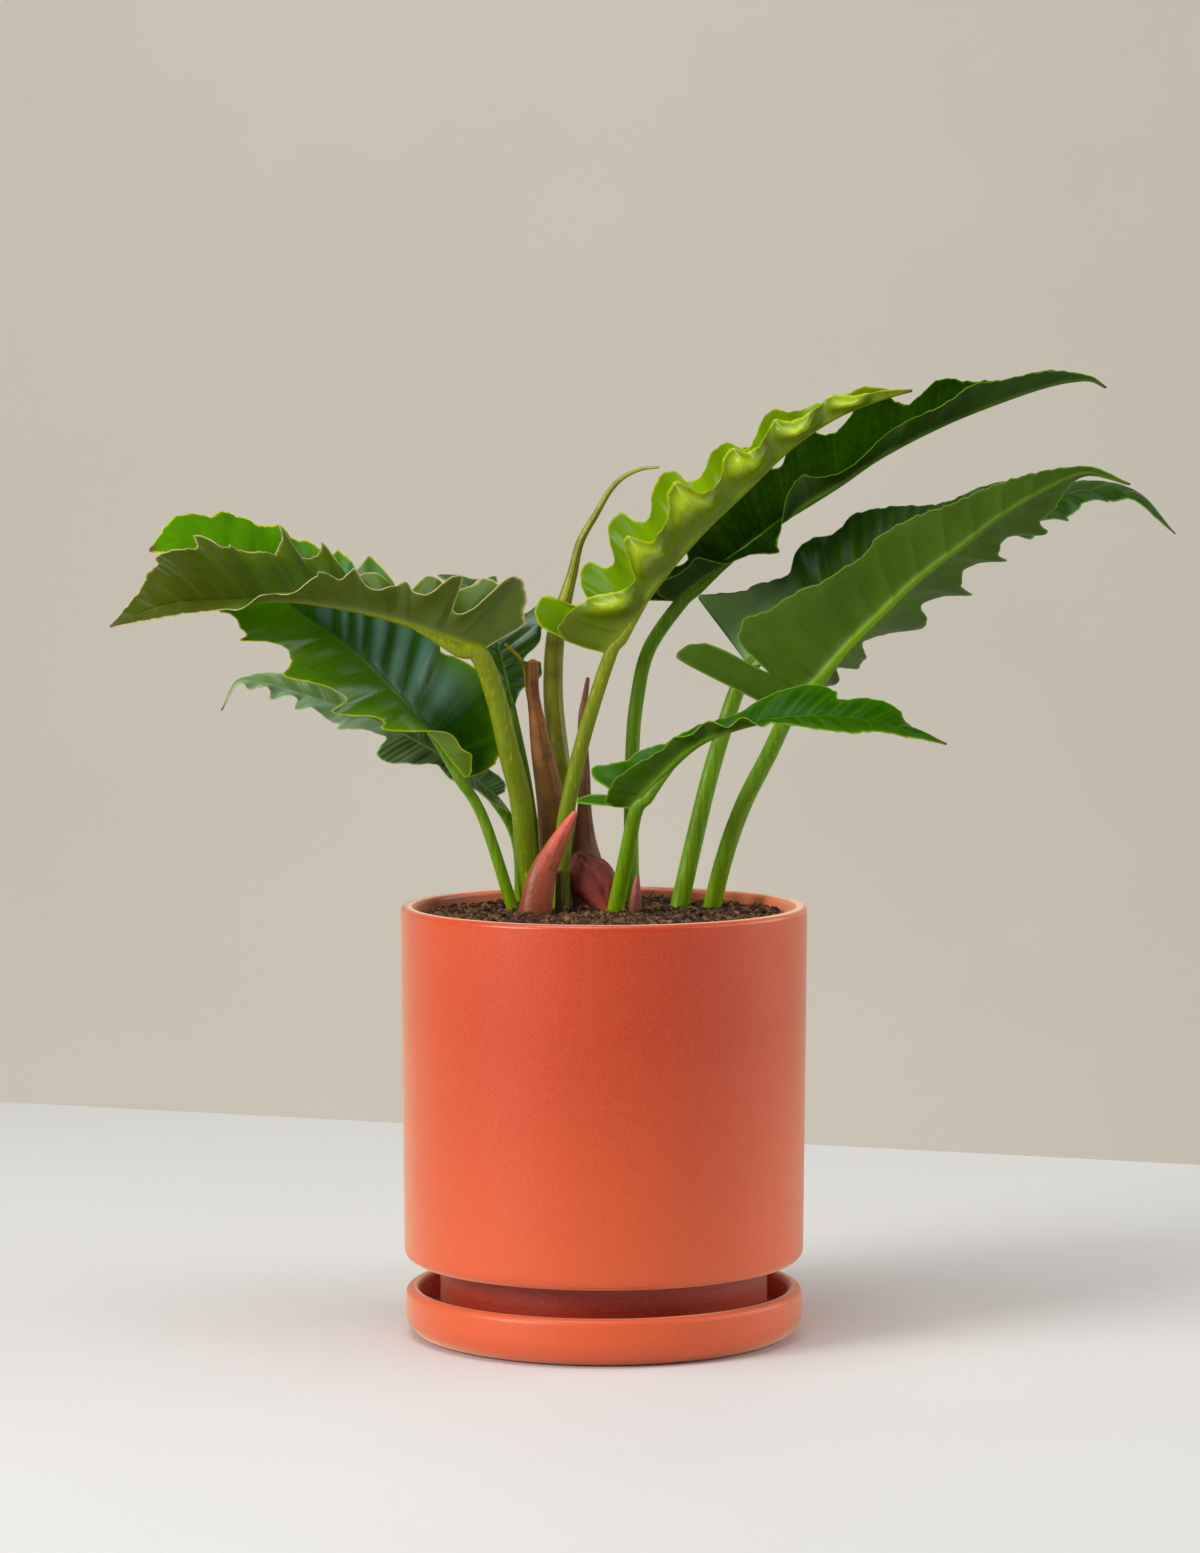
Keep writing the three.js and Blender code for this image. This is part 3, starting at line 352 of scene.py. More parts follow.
                    (0.922, 3.5), (1, 0.5)],
            rise=[60, 64, 66, 68, 70, 66, 60, 50], ruffle=3,
        ),
        stalk=[(15.5, 55, 209), (14, 56, 233), (14.5, 58, 287), (17, 60, 315), (23, 61, 340)],
        stalk_radius=(3.8, 3.5),
    ),
    dict(
        name="right_front", slot="leaf_mid", stalk_slot="stalk_green", look="matt",
        midrib=[(90, 14, 310), (107, 10, 327), (123, 6, 346), (140, 3, 363), (158, 0, 380), (179, -4, 396),
                (197, -8, 410), (218, -12, 423), (238, -15, 431), (259, -17, 425)],
        leans_left=False,
        sweep=[-20, 2, 20, 28, 32, 36, 40],
        near=dict(
            margin=[(0, 0), (0.0005, 12), (0.001, 33), (0.002, 50), (0.004, 58), (0.014, 59), (0.03, 58),
                    (0.044, 53), (0.05, 46), (0.053, 36), (0.056, 26), (0.06, 20), (0.065, 28), (0.07, 38),
                    (0.08, 44), (0.115, 48), (0.157, 42), (0.21, 37), (0.25, 31.5), (0.285, 30),
                    (0.342, 26.5), (0.37, 28.5), (0.392, 28), (0.487, 24), (0.562, 19.5), (0.677, 14),
                    (0.787, 8.5), (0.862, 4), (0.94, 2), (1, 0.5)],
            rise=[84, 80, 80, 80, 78, 74, 66, 60], ruffle=2,
        ),
        far=dict(
            margin=[(0, 0), (0.01, 8), (0.04, 16), (0.09, 18), (0.13, 16), (0.155, 6.5), (0.16, 18),
                    (0.167, 31), (0.2, 22), (0.23, 9.5), (0.26, 26), (0.29, 37), (0.31, 36), (0.337, 28.5),
                    (0.355, 20.5), (0.385, 29), (0.42, 39), (0.445, 25), (0.48, 18.5), (0.51, 23),
                    (0.54, 29.5), (0.555, 21), (0.582, 17.2), (0.62, 21), (0.665, 27.5), (0.675, 21),
                    (0.695, 18.5), (0.735, 17), (0.8, 9), (0.86, 4), (0.94, 2), (1, 0.5)],
            rise=[-10, -18, -24, -32, -36, -40, -40, -30], ruffle=2.5,
        ),
        stalk=[(55, 39, 210), (60, 36, 232), (70, 30, 262), (83, 22, 289)],
        stalk_radius=(4.7, 4),
    ),
    dict(
        name="right_back", slot="leaf_dark", stalk_slot="stalk_green", look="sky_sheen",
        midrib=[(72.5, 50, 333.5), (96, 48, 355), (125, 46, 377), (160, 44, 396), (195, 42, 411),
                (225, 40, 418), (250, 38, 422), (270, 36, 418), (288, 34, 400)],
        leans_left=False,
        sweep=[2, 12, 24, 30, 32, 36, 40],
        near=dict(
            margin=[(0, 0), (0.01, 8), (0.06, 20), (0.1, 26), (0.14, 18), (0.2, 30), (0.25, 20), (0.33, 34),
                    (0.38, 21), (0.46, 34), (0.51, 20), (0.59, 29), (0.62, 20), (0.675, 25), (0.69, 18),
                    (0.74, 12.5), (0.787, 14.5), (0.81, 9), (0.86, 5.5), (0.93, 4.5), (1, 0.5)],
            rise=[-30, -30, -34, -36, -36, -34, -30, -30], ruffle=2.5,
        ),
        far=dict(
            margin=[(0, 0), (0.001, 14), (0.002, 28), (0.004, 48), (0.042, 40), (0.08, 31), (0.132, 26.5),
                    (0.165, 23.5), (0.18, 28.5), (0.215, 33), (0.262, 28.5), (0.285, 32), (0.34, 28),
                    (0.385, 25.5), (0.492, 17), (0.55, 17), (0.6, 19), (0.65, 14), (0.74, 11.5),
                    (0.792, 10), (0.86, 7), (0.93, 5), (1, 0.5)],
            rise=[62, 60, 56, 50, 40, 30, 20, 0], ruffle=2.5,
        ),
        stalk=[(38, 44, 209), (47, 46, 248), (55, 48, 280), (67, 50, 318)],
        stalk_radius=(4.8, 4),
    ),
    dict(
        name="right_low", slot="leaf_mid", stalk_slot="stalk_green", look="fresh",
        midrib=[(14, -12, 265), (28, -16, 281), (47, -20, 298), (70, -24, 307), (92, -27, 311),
                (116, -30, 311), (141, -32, 307), (168, -34, 298)],
        leans_left=False,
        sweep=PLAIN_SWEEP,
        near=dict(
            margin=[(0, 0), (0.001, 5), (0.005, 9), (0.02, 13), (0.05, 16), (0.08, 16), (0.12, 13),
                    (0.175, 9.5), (0.22, 9), (0.275, 8), (0.33, 8.5), (0.37, 7), (0.44, 8), (0.5, 8),
                    (0.545, 9), (0.58, 11), (0.68, 13.5), (0.75, 10), (0.842, 9), (0.9, 5), (1, 0.5)],
            rise=[60, 60, 50, 10, -30, -30, -20, -20], ruffle=2.5,
        ),
        far=dict(
            margin=[(0, 0), (0.001, 18), (0.003, 27), (0.012, 28), (0.02, 24), (0.027, 15), (0.036, 18),
                    (0.046, 30), (0.06, 34), (0.078, 27), (0.1, 20), (0.13, 18), (0.18, 12), (0.27, 11.5),
                    (0.377, 8.5), (0.43, 12), (0.472, 16), (0.53, 22), (0.59, 20), (0.62, 14), (0.647, 12),
                    (0.677, 13), (0.777, 15.5), (0.83, 10), (0.9, 5), (1, 0.5)],
            rise=[64, 58, 50, 46, 46, 40, 30, 20], ruffle=2.5,
        ),
        stalk=[(5, 4, 209), (11, -4, 239)],
        stalk_radius=(4.4, 3.6),
    ),
]

# What else grows from the crown: a route from the soil up, and the radius at even stations of it.
# flat makes a section narrower from front to back, lap is the step of a rolled edge as a share of the radius,
# ribs counts its fine ribs, and torn is how far the notches of a torn end reach.
SHOOTS = [
    dict(
        name="rolled_new_leaf", slot="stalk_olive", look="spear",
        route=[(-18, 57, 208), (-20, 59, 263), (-23, 61, 286), (-26, 63, 315), (-25, 63, 345), (-20, 61, 365),
               (-16, 60, 379), (-12, 58, 395), (-4, 55, 409), (3, 51, 421), (10, 47, 428), (19, 42, 432),
               (28, 37, 433)],
        radius=[4.9, 4.9, 4.9, 4.9, 4.9, 4.8, 4.4, 2.6, 1.8, 1.3, 0.6], flat=1, lap=0.16, ribs=0,
    ),
    dict(
        name="sheath_brown", slot="sheath_brown", look="brown",
        route=[(-24, 43, 208), (-26, 43, 248), (-27, 43, 262), (-29, 43, 275), (-32, 43, 291), (-34, 43, 305),
               (-36, 42, 320), (-36, 41, 336)],
        radius=[6.8, 7.1, 7.3, 7.2, 6.4, 4.8, 3.2, 2.9], flat=0.8, lap=0.12, ribs=18,
    ),
    dict(
        name="sheath_pink_front", slot="sheath_pink", look="pink",
        route=[(-35, 6, 208), (-32, 6, 226), (-26, 8, 240), (-20, 10, 251), (-14, 12, 261)],
        radius=[8.4, 8.2, 7.4, 6, 4, 1.4], flat=0.75, lap=0.12, ribs=16,
    ),
    dict(
        name="sheath_red_back", slot="sheath_brown", look="red_brown",
        route=[(-8, 38, 208), (-9, 38, 228), (-10, 38, 246), (-10, 38, 272), (-11, 38, 305), (-9.5, 38, 317),
               (-8, 38, 327)],
        radius=[6, 7.2, 8.8, 5.8, 3.5, 3.1, 2.6, 1.8, 1], flat=0.5, lap=0.14, ribs=14,
    ),
    dict(
        name="bract_pink", slot="sheath_pink", look="pink_paper",
        route=[(0, 21, 208), (-4, 21, 220), (-7.5, 21, 228), (-10.5, 21, 233), (-12.5, 21, 238)],
        radius=[3, 3.2, 3.6, 7, 11, 9.5, 2], flat=0.35, lap=0.2, ribs=20, torn=3.5,
    ),
    dict(
        name="sheath_pink_small", slot="sheath_pink", look="pink_dull",
        route=[(15.5, 16, 208), (16, 16, 219), (17, 16.5, 229)],
        radius=[3.1, 3.2, 3.1, 2.4, 0.8], flat=0.8, lap=0.12, ribs=12,
    ),
    dict(
        name="stub_green", slot="stalk_olive", look="stub",
        route=[(-22, 17, 208), (-22, 17, 221), (-22, 17, 231)],
        radius=[2.6, 2.6, 2.2], flat=1, lap=0, ribs=6,
    ),
    dict(
        name="curl_yellow", slot="curl_yellow", look="curl",
        route=[(-28, 58, 208), (-31, 56, 263), (-36, 51, 304), (-39, 45, 321), (-40, 42, 330), (-43, 38, 337),
               (-50, 33, 344)],
        radius=[1.8, 1.7, 1.6, 1.5, 1.3, 1, 0.8], flat=1, lap=0, ribs=0,
    ),
]

# Looks. A colour is 0 to 255 as on a screen.
# Patterns of noise: scale, detail, and the two values of the noise that become 0 and 1
PATTERNS = {
    "clay_clouds": (9, 4, 0.35, 0.65),
    "clay_grain": (900, 2, 0.35, 0.7),
    "clay_satin": (60, 3, 0.3, 0.7),
    "soil_specks": (170, 4, 0.46, 0.58),
    "crumbs_specks": (260, 4, 0.46, 0.58),
    "leaf_clouds": (38, 4, 0.3, 0.7),
    "leaf_fine": (260, 4, 0.3, 0.7),
    "leaf_gloss": (30, 3, 0.3, 0.7),
    "stalk_stripes": (60, 4, 0.35, 0.7),
    "stalk_dashes": (500, 2, 0.64, 0.72),
    "stalk_gloss": (120, 3, 0.3, 0.7),
    "shoot_blotches": (110, 5, 0.46, 0.68),
    "stage_clouds": (3, 3, 0.3, 0.7),
}
BLACK = (0, 0, 0)
PALEST = 235

# Clay: its tones and where they take over, among them painted light and painted shade.
# Heights and radii are in metres, at none and at all of a tone.
CLAY_TONES = ((188, 54, 10), (198, 62, 14))
# Painted bounce light: the clay grows paler towards the bottom of the pot and over the saucer
CLAY_BOUNCE_LIGHT = (222, 90, 44)
CLAY_BOUNCE_LIGHT_HEIGHTS = (0.16, 0.04)
CLAY_BOUNCE_LIGHT_SHARE = 0.8
# Painted light inside the rim, paler there, and painted shade around the foot and on the saucer under it
CLAY_PAINTED_LIGHT_AND_SHADE = (
    dict(tone=(250, 132, 92), radii=(0.0985, 0.097), heights=(0.1, 0.12)),
    dict(tone=(150, 34, 10), radii=(0.086, 0.083), heights=(0.05, 0.045)),
)
CLAY_GRAIN = (236, 124, 84)
CLAY_GRAIN_SHARE = 0.16
CLAY_ROUGHNESS = (0.38, 0.48)
CLAY_SHEEN = {"Sheen Weight": 0.9, "Sheen Tint": (1.0, 0.76, 0.5, 1.0), "Sheen Roughness": 0.4}
LIP_GLOSS = 0.12
LIP_EDGE = 0.001

# Potting mix: the darkest and lightest crumb, and the specks
SOIL_LOOKS = {
    "soil": ((20, 13, 8), (98, 68, 42)),
    "crumbs": ((26, 16, 10), (146, 104, 68)),
}
SOIL_SPECKS = (14, 9, 6)
SPECK_SHARE = 0.8

# Leaves: shine is the strength of the reflection on the top face, and under_shine below.
# A part is a share of the way along the midrib, across for the edge, or of the bulge under a painted
# highlight, at none and at all of a tone. The midrib's own tone goes over its part from the first to the
# second of its shares.
EDGE_PART = (0.6, 1.1)
# The low tone: painted shade over left_low's lower lobe and painted light at right_back's base
LOW_PART = (0.12, 0.42)
OUTER_PART = (0.5, 0.75)
# Where the painted reflection lies on the far half, along the midrib
PAINTED_SHEEN_PARTS = ((0.12, 0.26), (0.6, 0.42))
TIP_PART = (0.965, 0.998)
RIB_PART = (0.25, 0.65)
RIB_SHARES = (1.0, 0.25)
# Where the painted highlight on the pouches' peaks shows, and how much
BULGE_HIGHLIGHT_PART = (0.25, 1.0)
BULGE_HIGHLIGHT_SHARE = 0.8
CLOUD_SHARE = 0.16
VEIN_SHARE = 0.3
UNDER_CLOUDS = 0.86
UNDER_VEINS = 0.76
UNDER_VEIN_SHARE = 0.35
FINE_SHARE = 0.05
GLOSS_RANGE = (-0.03, 0.05)
UNDER_ROUGHER = 0.1
STRIPE_RELIEF = 0.8
# The top tone of each near half is painted light and shade: it stands apart from the far half's as light
# falls on it
LEAF_LOOKS = {
    "olive": dict(top=(56, 80, 22), top_near_painted_light=(62, 78, 22), top_edge=(84, 108, 12), under=(84, 104, 28),
                  rib_top=(110, 130, 20), rib_under=(128, 140, 24), margin=(184, 170, 116), gloss=0.3,
                  shine=0.1, under_shine=0.3, stripes=0.05, outer=(58, 68, 14), veins=0.1),
    "bright_edge": dict(top=(18, 72, 4), top_near_painted_light=(68, 114, 0), top_edge=(84, 136, 0), under=(110, 140, 40),
                        rib_top=(76, 140, 4), rib_under=(136, 176, 30), margin=(170, 184, 20), gloss=0.24,
                        # The pale blue-green here is a painted reflection
                        shine=0.6, under_shine=0.14, stripes=0.05, painted_sheen=(126, 182, 158),
                        outer=(64, 116, 14)),
    # Grey-green, with its pale near-half top as a painted sheen
    "grey_and_painted_sheen": dict(top=(70, 110, 16), top_near_painted_light=(124, 158, 120), top_edge=(128, 168, 116),
                   under=(130, 156, 96), rib_top=(120, 150, 96), rib_under=(150, 176, 110),
                   margin=(176, 190, 130), gloss=0.36, shine=0.3, under_shine=0.14, stripes=0.35,
                   # Painted shade over the lower lobe
                   low=(30, 66, 4), low_part=(0.34, 0.38)),
    "deep": dict(top=(24, 58, 10), top_near_painted_light=(34, 76, 6), top_edge=(28, 66, 8), under=(56, 92, 10),
                 rib_top=(60, 112, 6), rib_under=(100, 146, 20), margin=(92, 134, 30), gloss=0.3,
                 shine=0.4, under_shine=0.12, stripes=0.12),
    "deep_matt": dict(top=(24, 50, 2), top_near_painted_light=(40, 72, 4), top_edge=(22, 44, 0), under=(44, 72, 6),
                      rib_top=(60, 108, 2), rib_under=(100, 140, 16), margin=(92, 130, 20), gloss=0.36,
                      shine=0.0, under_shine=0.2, stripes=0.02, low=(14, 30, 2), veins=0.08),
    "sky_sheen": dict(top=(34, 68, 6), top_near_painted_light=(30, 66, 6), top_edge=(40, 78, 18), under=(48, 76, 10),
                      rib_top=(66, 112, 20), rib_under=(100, 146, 30), margin=(96, 136, 50), gloss=0.3,
                      # The pale low tone is painted light at the base
                      shine=0.1, under_shine=0.14, stripes=0.12, low=(158, 196, 134), outer=(20, 50, 2),
                      low_part=(0.06, 0.18)),
    "young": dict(top=(112, 146, 0), top_near_painted_light=(110, 146, 0), top_edge=(112, 150, 0), under=(106, 130, 0),
                  rib_top=(118, 146, 2), rib_under=(116, 132, 2), margin=(164, 178, 20), gloss=0.19,
                  # The last tone here is a painted highlight on the pouches' peaks
                  shine=0.06, under_shine=0.25, stripes=0.08, low=(90, 128, 0), bulge_highlight=(184, 206, 40)),
    "matt": dict(top=(34, 72, 2), top_near_painted_light=(50, 96, 0), top_edge=(56, 104, 2), under=(68, 97, 22),
                 rib_top=(104, 150, 6), rib_under=(112, 150, 8), margin=(112, 142, 50), gloss=0.3,
                 shine=0.2, under_shine=0.12, stripes=0.0),
    "fresh": dict(top=(34, 76, 0), top_near_painted_light=(36, 72, 0), top_edge=(52, 104, 0), under=(54, 86, 2),
                  rib_top=(74, 128, 2), rib_under=(92, 128, 6), margin=(120, 146, 40), gloss=0.3,
                  shine=0.04, under_shine=0.14, stripes=0.1),
}
BROWN_TIP = (96, 62, 34)

# Stalks and shoots: how marks are stretched, how much they show, and their tone as a share of the look's
STRIPE_STRETCH = (9, 9, 0.35)
STRIPE_SHARE = 0.5
STRIPE_TONE = 0.7
DASH_STRETCH = (1, 1, 0.35)
DASH_SHARE = 0.5
DASH_TONE = 1.35
STALK_ROUGHNESS = (0.34, 0.48)
SHOOT_PART = (0.1, 0.9)
STREAK_PART = (0.4, 0.75)
STREAK_SHARE = 0.75
BLOTCH_SHARE = 0.55
BLOTCH_TONE = 0.7
STALK_LOOKS = {
    "stalk_green": dict(low=(128, 172, 0), high=(90, 134, 8)),
    "stalk_olive": dict(low=(102, 130, 0), high=(142, 154, 6)),
}
SHOOT_LOOKS = {
    "spear": dict(low=(118, 128, 4), high=(160, 156, 20), streak=(96, 100, 4), roughness=0.42),
    "brown": dict(low=(104, 84, 20), high=(166, 102, 46), streak=(92, 62, 14), roughness=0.55),
    "pink": dict(low=(92, 56, 28), high=(232, 100, 88), streak=(160, 92, 46), roughness=0.42),
    "pink_dull": dict(low=(92, 56, 44), high=(176, 90, 82), streak=(110, 64, 44), roughness=0.5),
    "red_brown": dict(low=(120, 88, 44), high=(156, 98, 76), streak=(110, 60, 42), roughness=0.5),
    "pink_paper": dict(low=(246, 110, 98), high=(124, 60, 46), streak=(70, 34, 24), roughness=0.6),
    "stub": dict(low=(84, 88, 18), high=(112, 104, 40), streak=(60, 60, 14), roughness=0.6),
    "curl": dict(low=(150, 146, 10), high=(196, 168, 30), streak=(140, 120, 20), roughness=0.5),
}

# Room: the table's and the wall's looks, and the tone of the faint clouds in them
TABLE_LOOK = dict(colour=(214, 212, 210), roughness=0.6)
WALL_LOOK = dict(colour=(236, 229, 216), roughness=0.9)
ROOM_CLOUDS = 0.985


def linear(colour):
    """A screen colour c of 0 to 255 as light: (c / 255) ** 2.2, with full cover."""
    return (*((c / 255) ** 2.2 for c in colour), 1.0)


def toned(colour, share):
    """The colour with each part times a share, and never over PALEST."""
    return tuple(min(share * part, PALEST) for part in colour)


def smooth(x, low, high):
    """t t (3 - 2 t) with t = (x - low) / (high - low), kept within 0 and 1."""
    t = np.clip((x - low) / (high - low), 0, 1)
    return t * t * (3 - 2 * t)


def bell(distance, width, power=2):
    """exp(-(distance / width) ** power), which is 1 at distance 0."""
    return np.exp(-((distance / width) ** power))


def run(values, place):
    """A smooth run through values at even stations, at places from 0 to 1.

    With f the share of the step from value a to b, and slopes m and n there of half the difference between
    the neighbours: a (1 - h) + b h + m f (1 - f)^2 - n f^2 (1 - f), where h = f f (3 - 2 f).
    """
    values = np.asarray(values, float)
    last = len(values) - 1
    x = np.clip(place, 0, 1) * last
    k = np.minimum(x.astype(int), last - 1)
    f = x - k
    padded = np.concatenate([[2 * values[0] - values[1]], values, [2 * values[-1] - values[-2]]])
    before, start, end, after = (padded[k + i] for i in range(4))
    blend = f * f * (3 - 2 * f)
    slopes = (end - before) / 2 * f * (1 - f) ** 2 - (after - start) / 2 * f * f * (1 - f)
    return start * (1 - blend) + end * blend + slopes


class Route:
    """A smooth line through points, the same run as above for each of x, y and z, measured by its length."""

    SAMPLES = 60

    def __init__(self, points):
        points = np.asarray(points, float)
        fine = np.linspace(0, 1, (len(points) - 1) * self.SAMPLES + 1)
        line = np.stack([run(points[:, i], fine) for i in range(3)], axis=1)
        walked = np.concatenate([[0], np.cumsum(np.linalg.norm(np.diff(line, axis=0), axis=1))])
        self.length = walked[-1]
        self.places = np.linspace(0, 1, len(fine))
        even = self.places * self.length
        self.line = np.stack([np.interp(even, walked, line[:, i]) for i in range(3)], axis=1)
        self.slope = unit(np.gradient(self.line, axis=0))

    def look_up(self, table, place):
        return np.stack([np.interp(place, self.places, table[:, i]) for i in range(3)], axis=-1)

    def point(self, place):
        return self.look_up(self.line, place)

    def along(self, place):
        return unit(self.look_up(self.slope, place))


def unit(vectors):
    """Each vector at length 1."""
    return vectors / np.maximum(np.linalg.norm(vectors, axis=-1, keepdims=True), SMALLEST_LENGTH)


def grid_faces(rows, columns, start=0, closed=False):
    """The four-sided faces of a grid of points in rows, and across the last and first column if closed."""
    i, j = np.meshgrid(np.arange(rows - 1), np.arange(columns if closed else columns - 1), indexing="ij")
    a = i * columns + j
    b = i * columns + (j + 1) % columns
    return start + np.stack([a, b, b + columns, a + columns], axis=-1).reshape(-1, 4)


def make_piece(name, points, faces, attributes=None):
    """A mesh object from points in millimetres, lists of faces, and a number for each point under a name."""
    mesh = bpy.data.meshes.new(name)
    mesh.from_pydata((points * MM).tolist(), [], [f for part in faces for f in part.tolist()])
    mesh.shade_smooth()
    mesh.set_sharp_from_angle(angle=SHARP_ANGLE)
    for key, values in (attributes or {}).items():
        data = mesh.attributes.new(key, "FLOAT", "POINT").data
        data.foreach_set("value", values.astype(np.float32).ravel())
    piece = bpy.data.objects.new(name, mesh)
    bpy.context.scene.collection.objects.link(piece)
    return piece


def place_piece(piece, material, node=None):
    """The piece's material, its body, and the node that it stands for, if any."""
    piece.data.materials.append(material)
    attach(piece, BODY)
    if node:
        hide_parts(node)


class Shader:
    """A node material with one Principled shader, and short ways to add nodes.

    A colour is a socket, or three numbers of 0 to 255 as on a screen.
    """

    def __init__(self, name, roughness=0.5, specular=0.5):
        self.material = bpy.data.materials.new(name)
        self.material.use_nodes = True
        self.tree = self.material.node_tree
        self.principled = self.tree.nodes["Principled BSDF"]
        self.principled.inputs["Roughness"].default_value = roughness
        self.principled.inputs["Specular IOR Level"].default_value = specular

    def add(self, kind, inputs=(), **settings):
        """A node with its settings, and its inputs by name or number, each a socket or a value."""
        node = self.tree.nodes.new(kind)
        for key, value in settings.items():
            setattr(node, key, value)
        for key, value in dict(inputs).items():
            self.feed(node.inputs[key], value)
        return node

    def feed(self, socket, value):
        if isinstance(value, bpy.types.NodeSocket):
            self.tree.links.new(value, socket)
        else:
            socket.default_value = value

    def attribute(self, name):
        return self.add("ShaderNodeAttribute", attribute_name=name).outputs["Fac"]

    def place(self):
        return self.add("ShaderNodeTexCoord").outputs["Object"]

    def noise(self, scale, detail, stretch=(1, 1, 1)):
        mapped = self.add("ShaderNodeMapping", {"Vector": self.place(), "Scale": stretch}).outputs["Vector"]
        made = self.add("ShaderNodeTexNoise", {"Vector": mapped, "Scale": scale, "Detail": detail})
        return made.outputs["Fac"]

    def span(self, value, low, high, to_low=0.0, to_high=1.0):
        """A number that goes from to_low to to_high as the value goes from low to high."""
        made = self.add("ShaderNodeMapRange", {0: value, 1: low, 2: high, 3: to_low, 4: to_high})
        return made.outputs["Result"]

    def where(self, name, low, high, to_low=0.0, to_high=1.0):
        """The same for an attribute, such as the way along a leaf."""
        return self.span(self.attribute(name), low, high, to_low, to_high)

    def pattern(self, name, to_low=0.0, to_high=1.0, stretch=(1, 1, 1)):
        """The same for one of the PATTERNS of noise."""
        scale, detail, low, high = PATTERNS[name]
        return self.span(self.noise(scale, detail, stretch), low, high, to_low, to_high)

    def math(self, operation, first, second):
        return self.add("ShaderNodeMath", {0: first, 1: second}, operation=operation).outputs[0]

    def times(self, first, second):
        return self.math("MULTIPLY", first, second)

    def plus(self, first, second):
        return self.math("ADD", first, second)

    def choose(self, share, first, second):
        """A number that goes from the first to the second as the share goes from 0 to 1."""
        return self.add("ShaderNodeMix", {0: share, 2: first, 3: second}).outputs[0]

    def mix(self, share, first, second):
        """A colour that goes from the first to the second as the share goes from 0 to 1."""
        ends = [end if isinstance(end, bpy.types.NodeSocket) else linear(end) for end in (first, second)]
        return self.add("ShaderNodeMix", {0: share, 6: ends[0], 7: ends[1]}, data_type="RGBA").outputs[2]

    def colour(self, value):
        self.feed(self.principled.inputs["Base Color"], value)

    def roughness(self, value):
        self.feed(self.principled.inputs["Roughness"], value)

    def bump(self, height, depth):
        made = self.add("ShaderNodeBump", {"Height": height, "Distance": depth, "Strength": 1.0})
        self.feed(self.principled.inputs["Normal"], made.outputs["Normal"])


def clay_material():
    """Satin orange-red glaze: cloudy tone, fine grain, a soft warm sheen, and a smoother lip.

    It has painted light, paler low down and inside the rim, and painted shade, darker around the foot.
    """
    shader = Shader("clay_satin", roughness=0.42, specular=0.5)
    for socket, value in CLAY_SHEEN.items():
        shader.principled.inputs[socket].default_value = value
    parts = shader.add("ShaderNodeSeparateXYZ", {0: shader.place()}).outputs
    height = parts["Z"]
    squares = [shader.times(parts[axis], parts[axis]) for axis in "XY"]
    radius = shader.math("SQRT", shader.plus(*squares), 0)
    body = shader.mix(shader.pattern("clay_clouds"), *CLAY_TONES)
    # Painted bounce light: paler towards the bottom
    body = shader.mix(shader.span(height, *CLAY_BOUNCE_LIGHT_HEIGHTS, 0, CLAY_BOUNCE_LIGHT_SHARE), body, CLAY_BOUNCE_LIGHT)
    # Painted light inside the rim and painted shade around the foot
    for part in CLAY_PAINTED_LIGHT_AND_SHADE:
        mask = shader.times(shader.span(radius, *part["radii"]), shader.span(height, *part["heights"]))
        body = shader.mix(mask, body, part["tone"])
    shader.colour(shader.mix(shader.pattern("clay_grain", 0, CLAY_GRAIN_SHARE), body, CLAY_GRAIN))
    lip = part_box("pot")[1].z - RIM_ROUND * MM
    smoother = shader.span(height, lip - LIP_EDGE, lip, 0, LIP_GLOSS)
    shader.roughness(shader.math("SUBTRACT", shader.pattern("clay_satin", *CLAY_ROUGHNESS), smoother))
    shader.bump(shader.noise(scale=1100, detail=2), depth=0.00004)
    return shader.material


def soil_material(name):
    """Damp crumbly brown, lighter from crumb to crumb by the crumbs' own tone, with nearly black specks.

    Its bump is three times as fine as the specks.
    """
    shader = Shader(name, roughness=0.85, specular=0.3)
    specks = name + "_specks"
    body = shader.mix(shader.attribute("tone"), *SOIL_LOOKS[name])
    shader.colour(shader.mix(shader.pattern(specks, 0, SPECK_SHARE), body, SOIL_SPECKS))
    scale, detail = PATTERNS[specks][:2]
    shader.bump(shader.noise(3 * scale, detail), depth=0.0006)
    return shader.material


def leaf_top(shader, look):
    """The top face's colour and shine: other tones on the near half, at the edge, low down and further out.

    A painted reflection lies in a part of the far half, between the side veins, and only that part shines.
    """
    # Painted light and shade: the near half's top stands apart from the far half's as the light falls
    top = shader.mix(shader.attribute("near"), look["top"], look["top_near_painted_light"])
    top = shader.mix(shader.where("across", *EDGE_PART), top, look["top_edge"])
    # Low down: painted shade on left_low's lower lobe, painted light at right_back's base
    if "low" in look:
        top = shader.mix(shader.where("along", *look.get("low_part", LOW_PART)), look["low"], top)
    if "outer" in look:
        top = shader.mix(shader.where("along", *OUTER_PART), top, look["outer"])
    if "painted_sheen" not in look:
        return top, look["shine"]
    # Painted reflection: pale blue-green between the side veins of the far half, where it swells
    part = shader.times(*[shader.where("along", *ends) for ends in PAINTED_SHEEN_PARTS])
    sheen_patch = shader.times(shader.attribute("swell"), shader.where("near", 1, 0))
    return shader.mix(shader.times(part, sheen_patch), top, look["painted_sheen"]), shader.times(part, look["shine"])


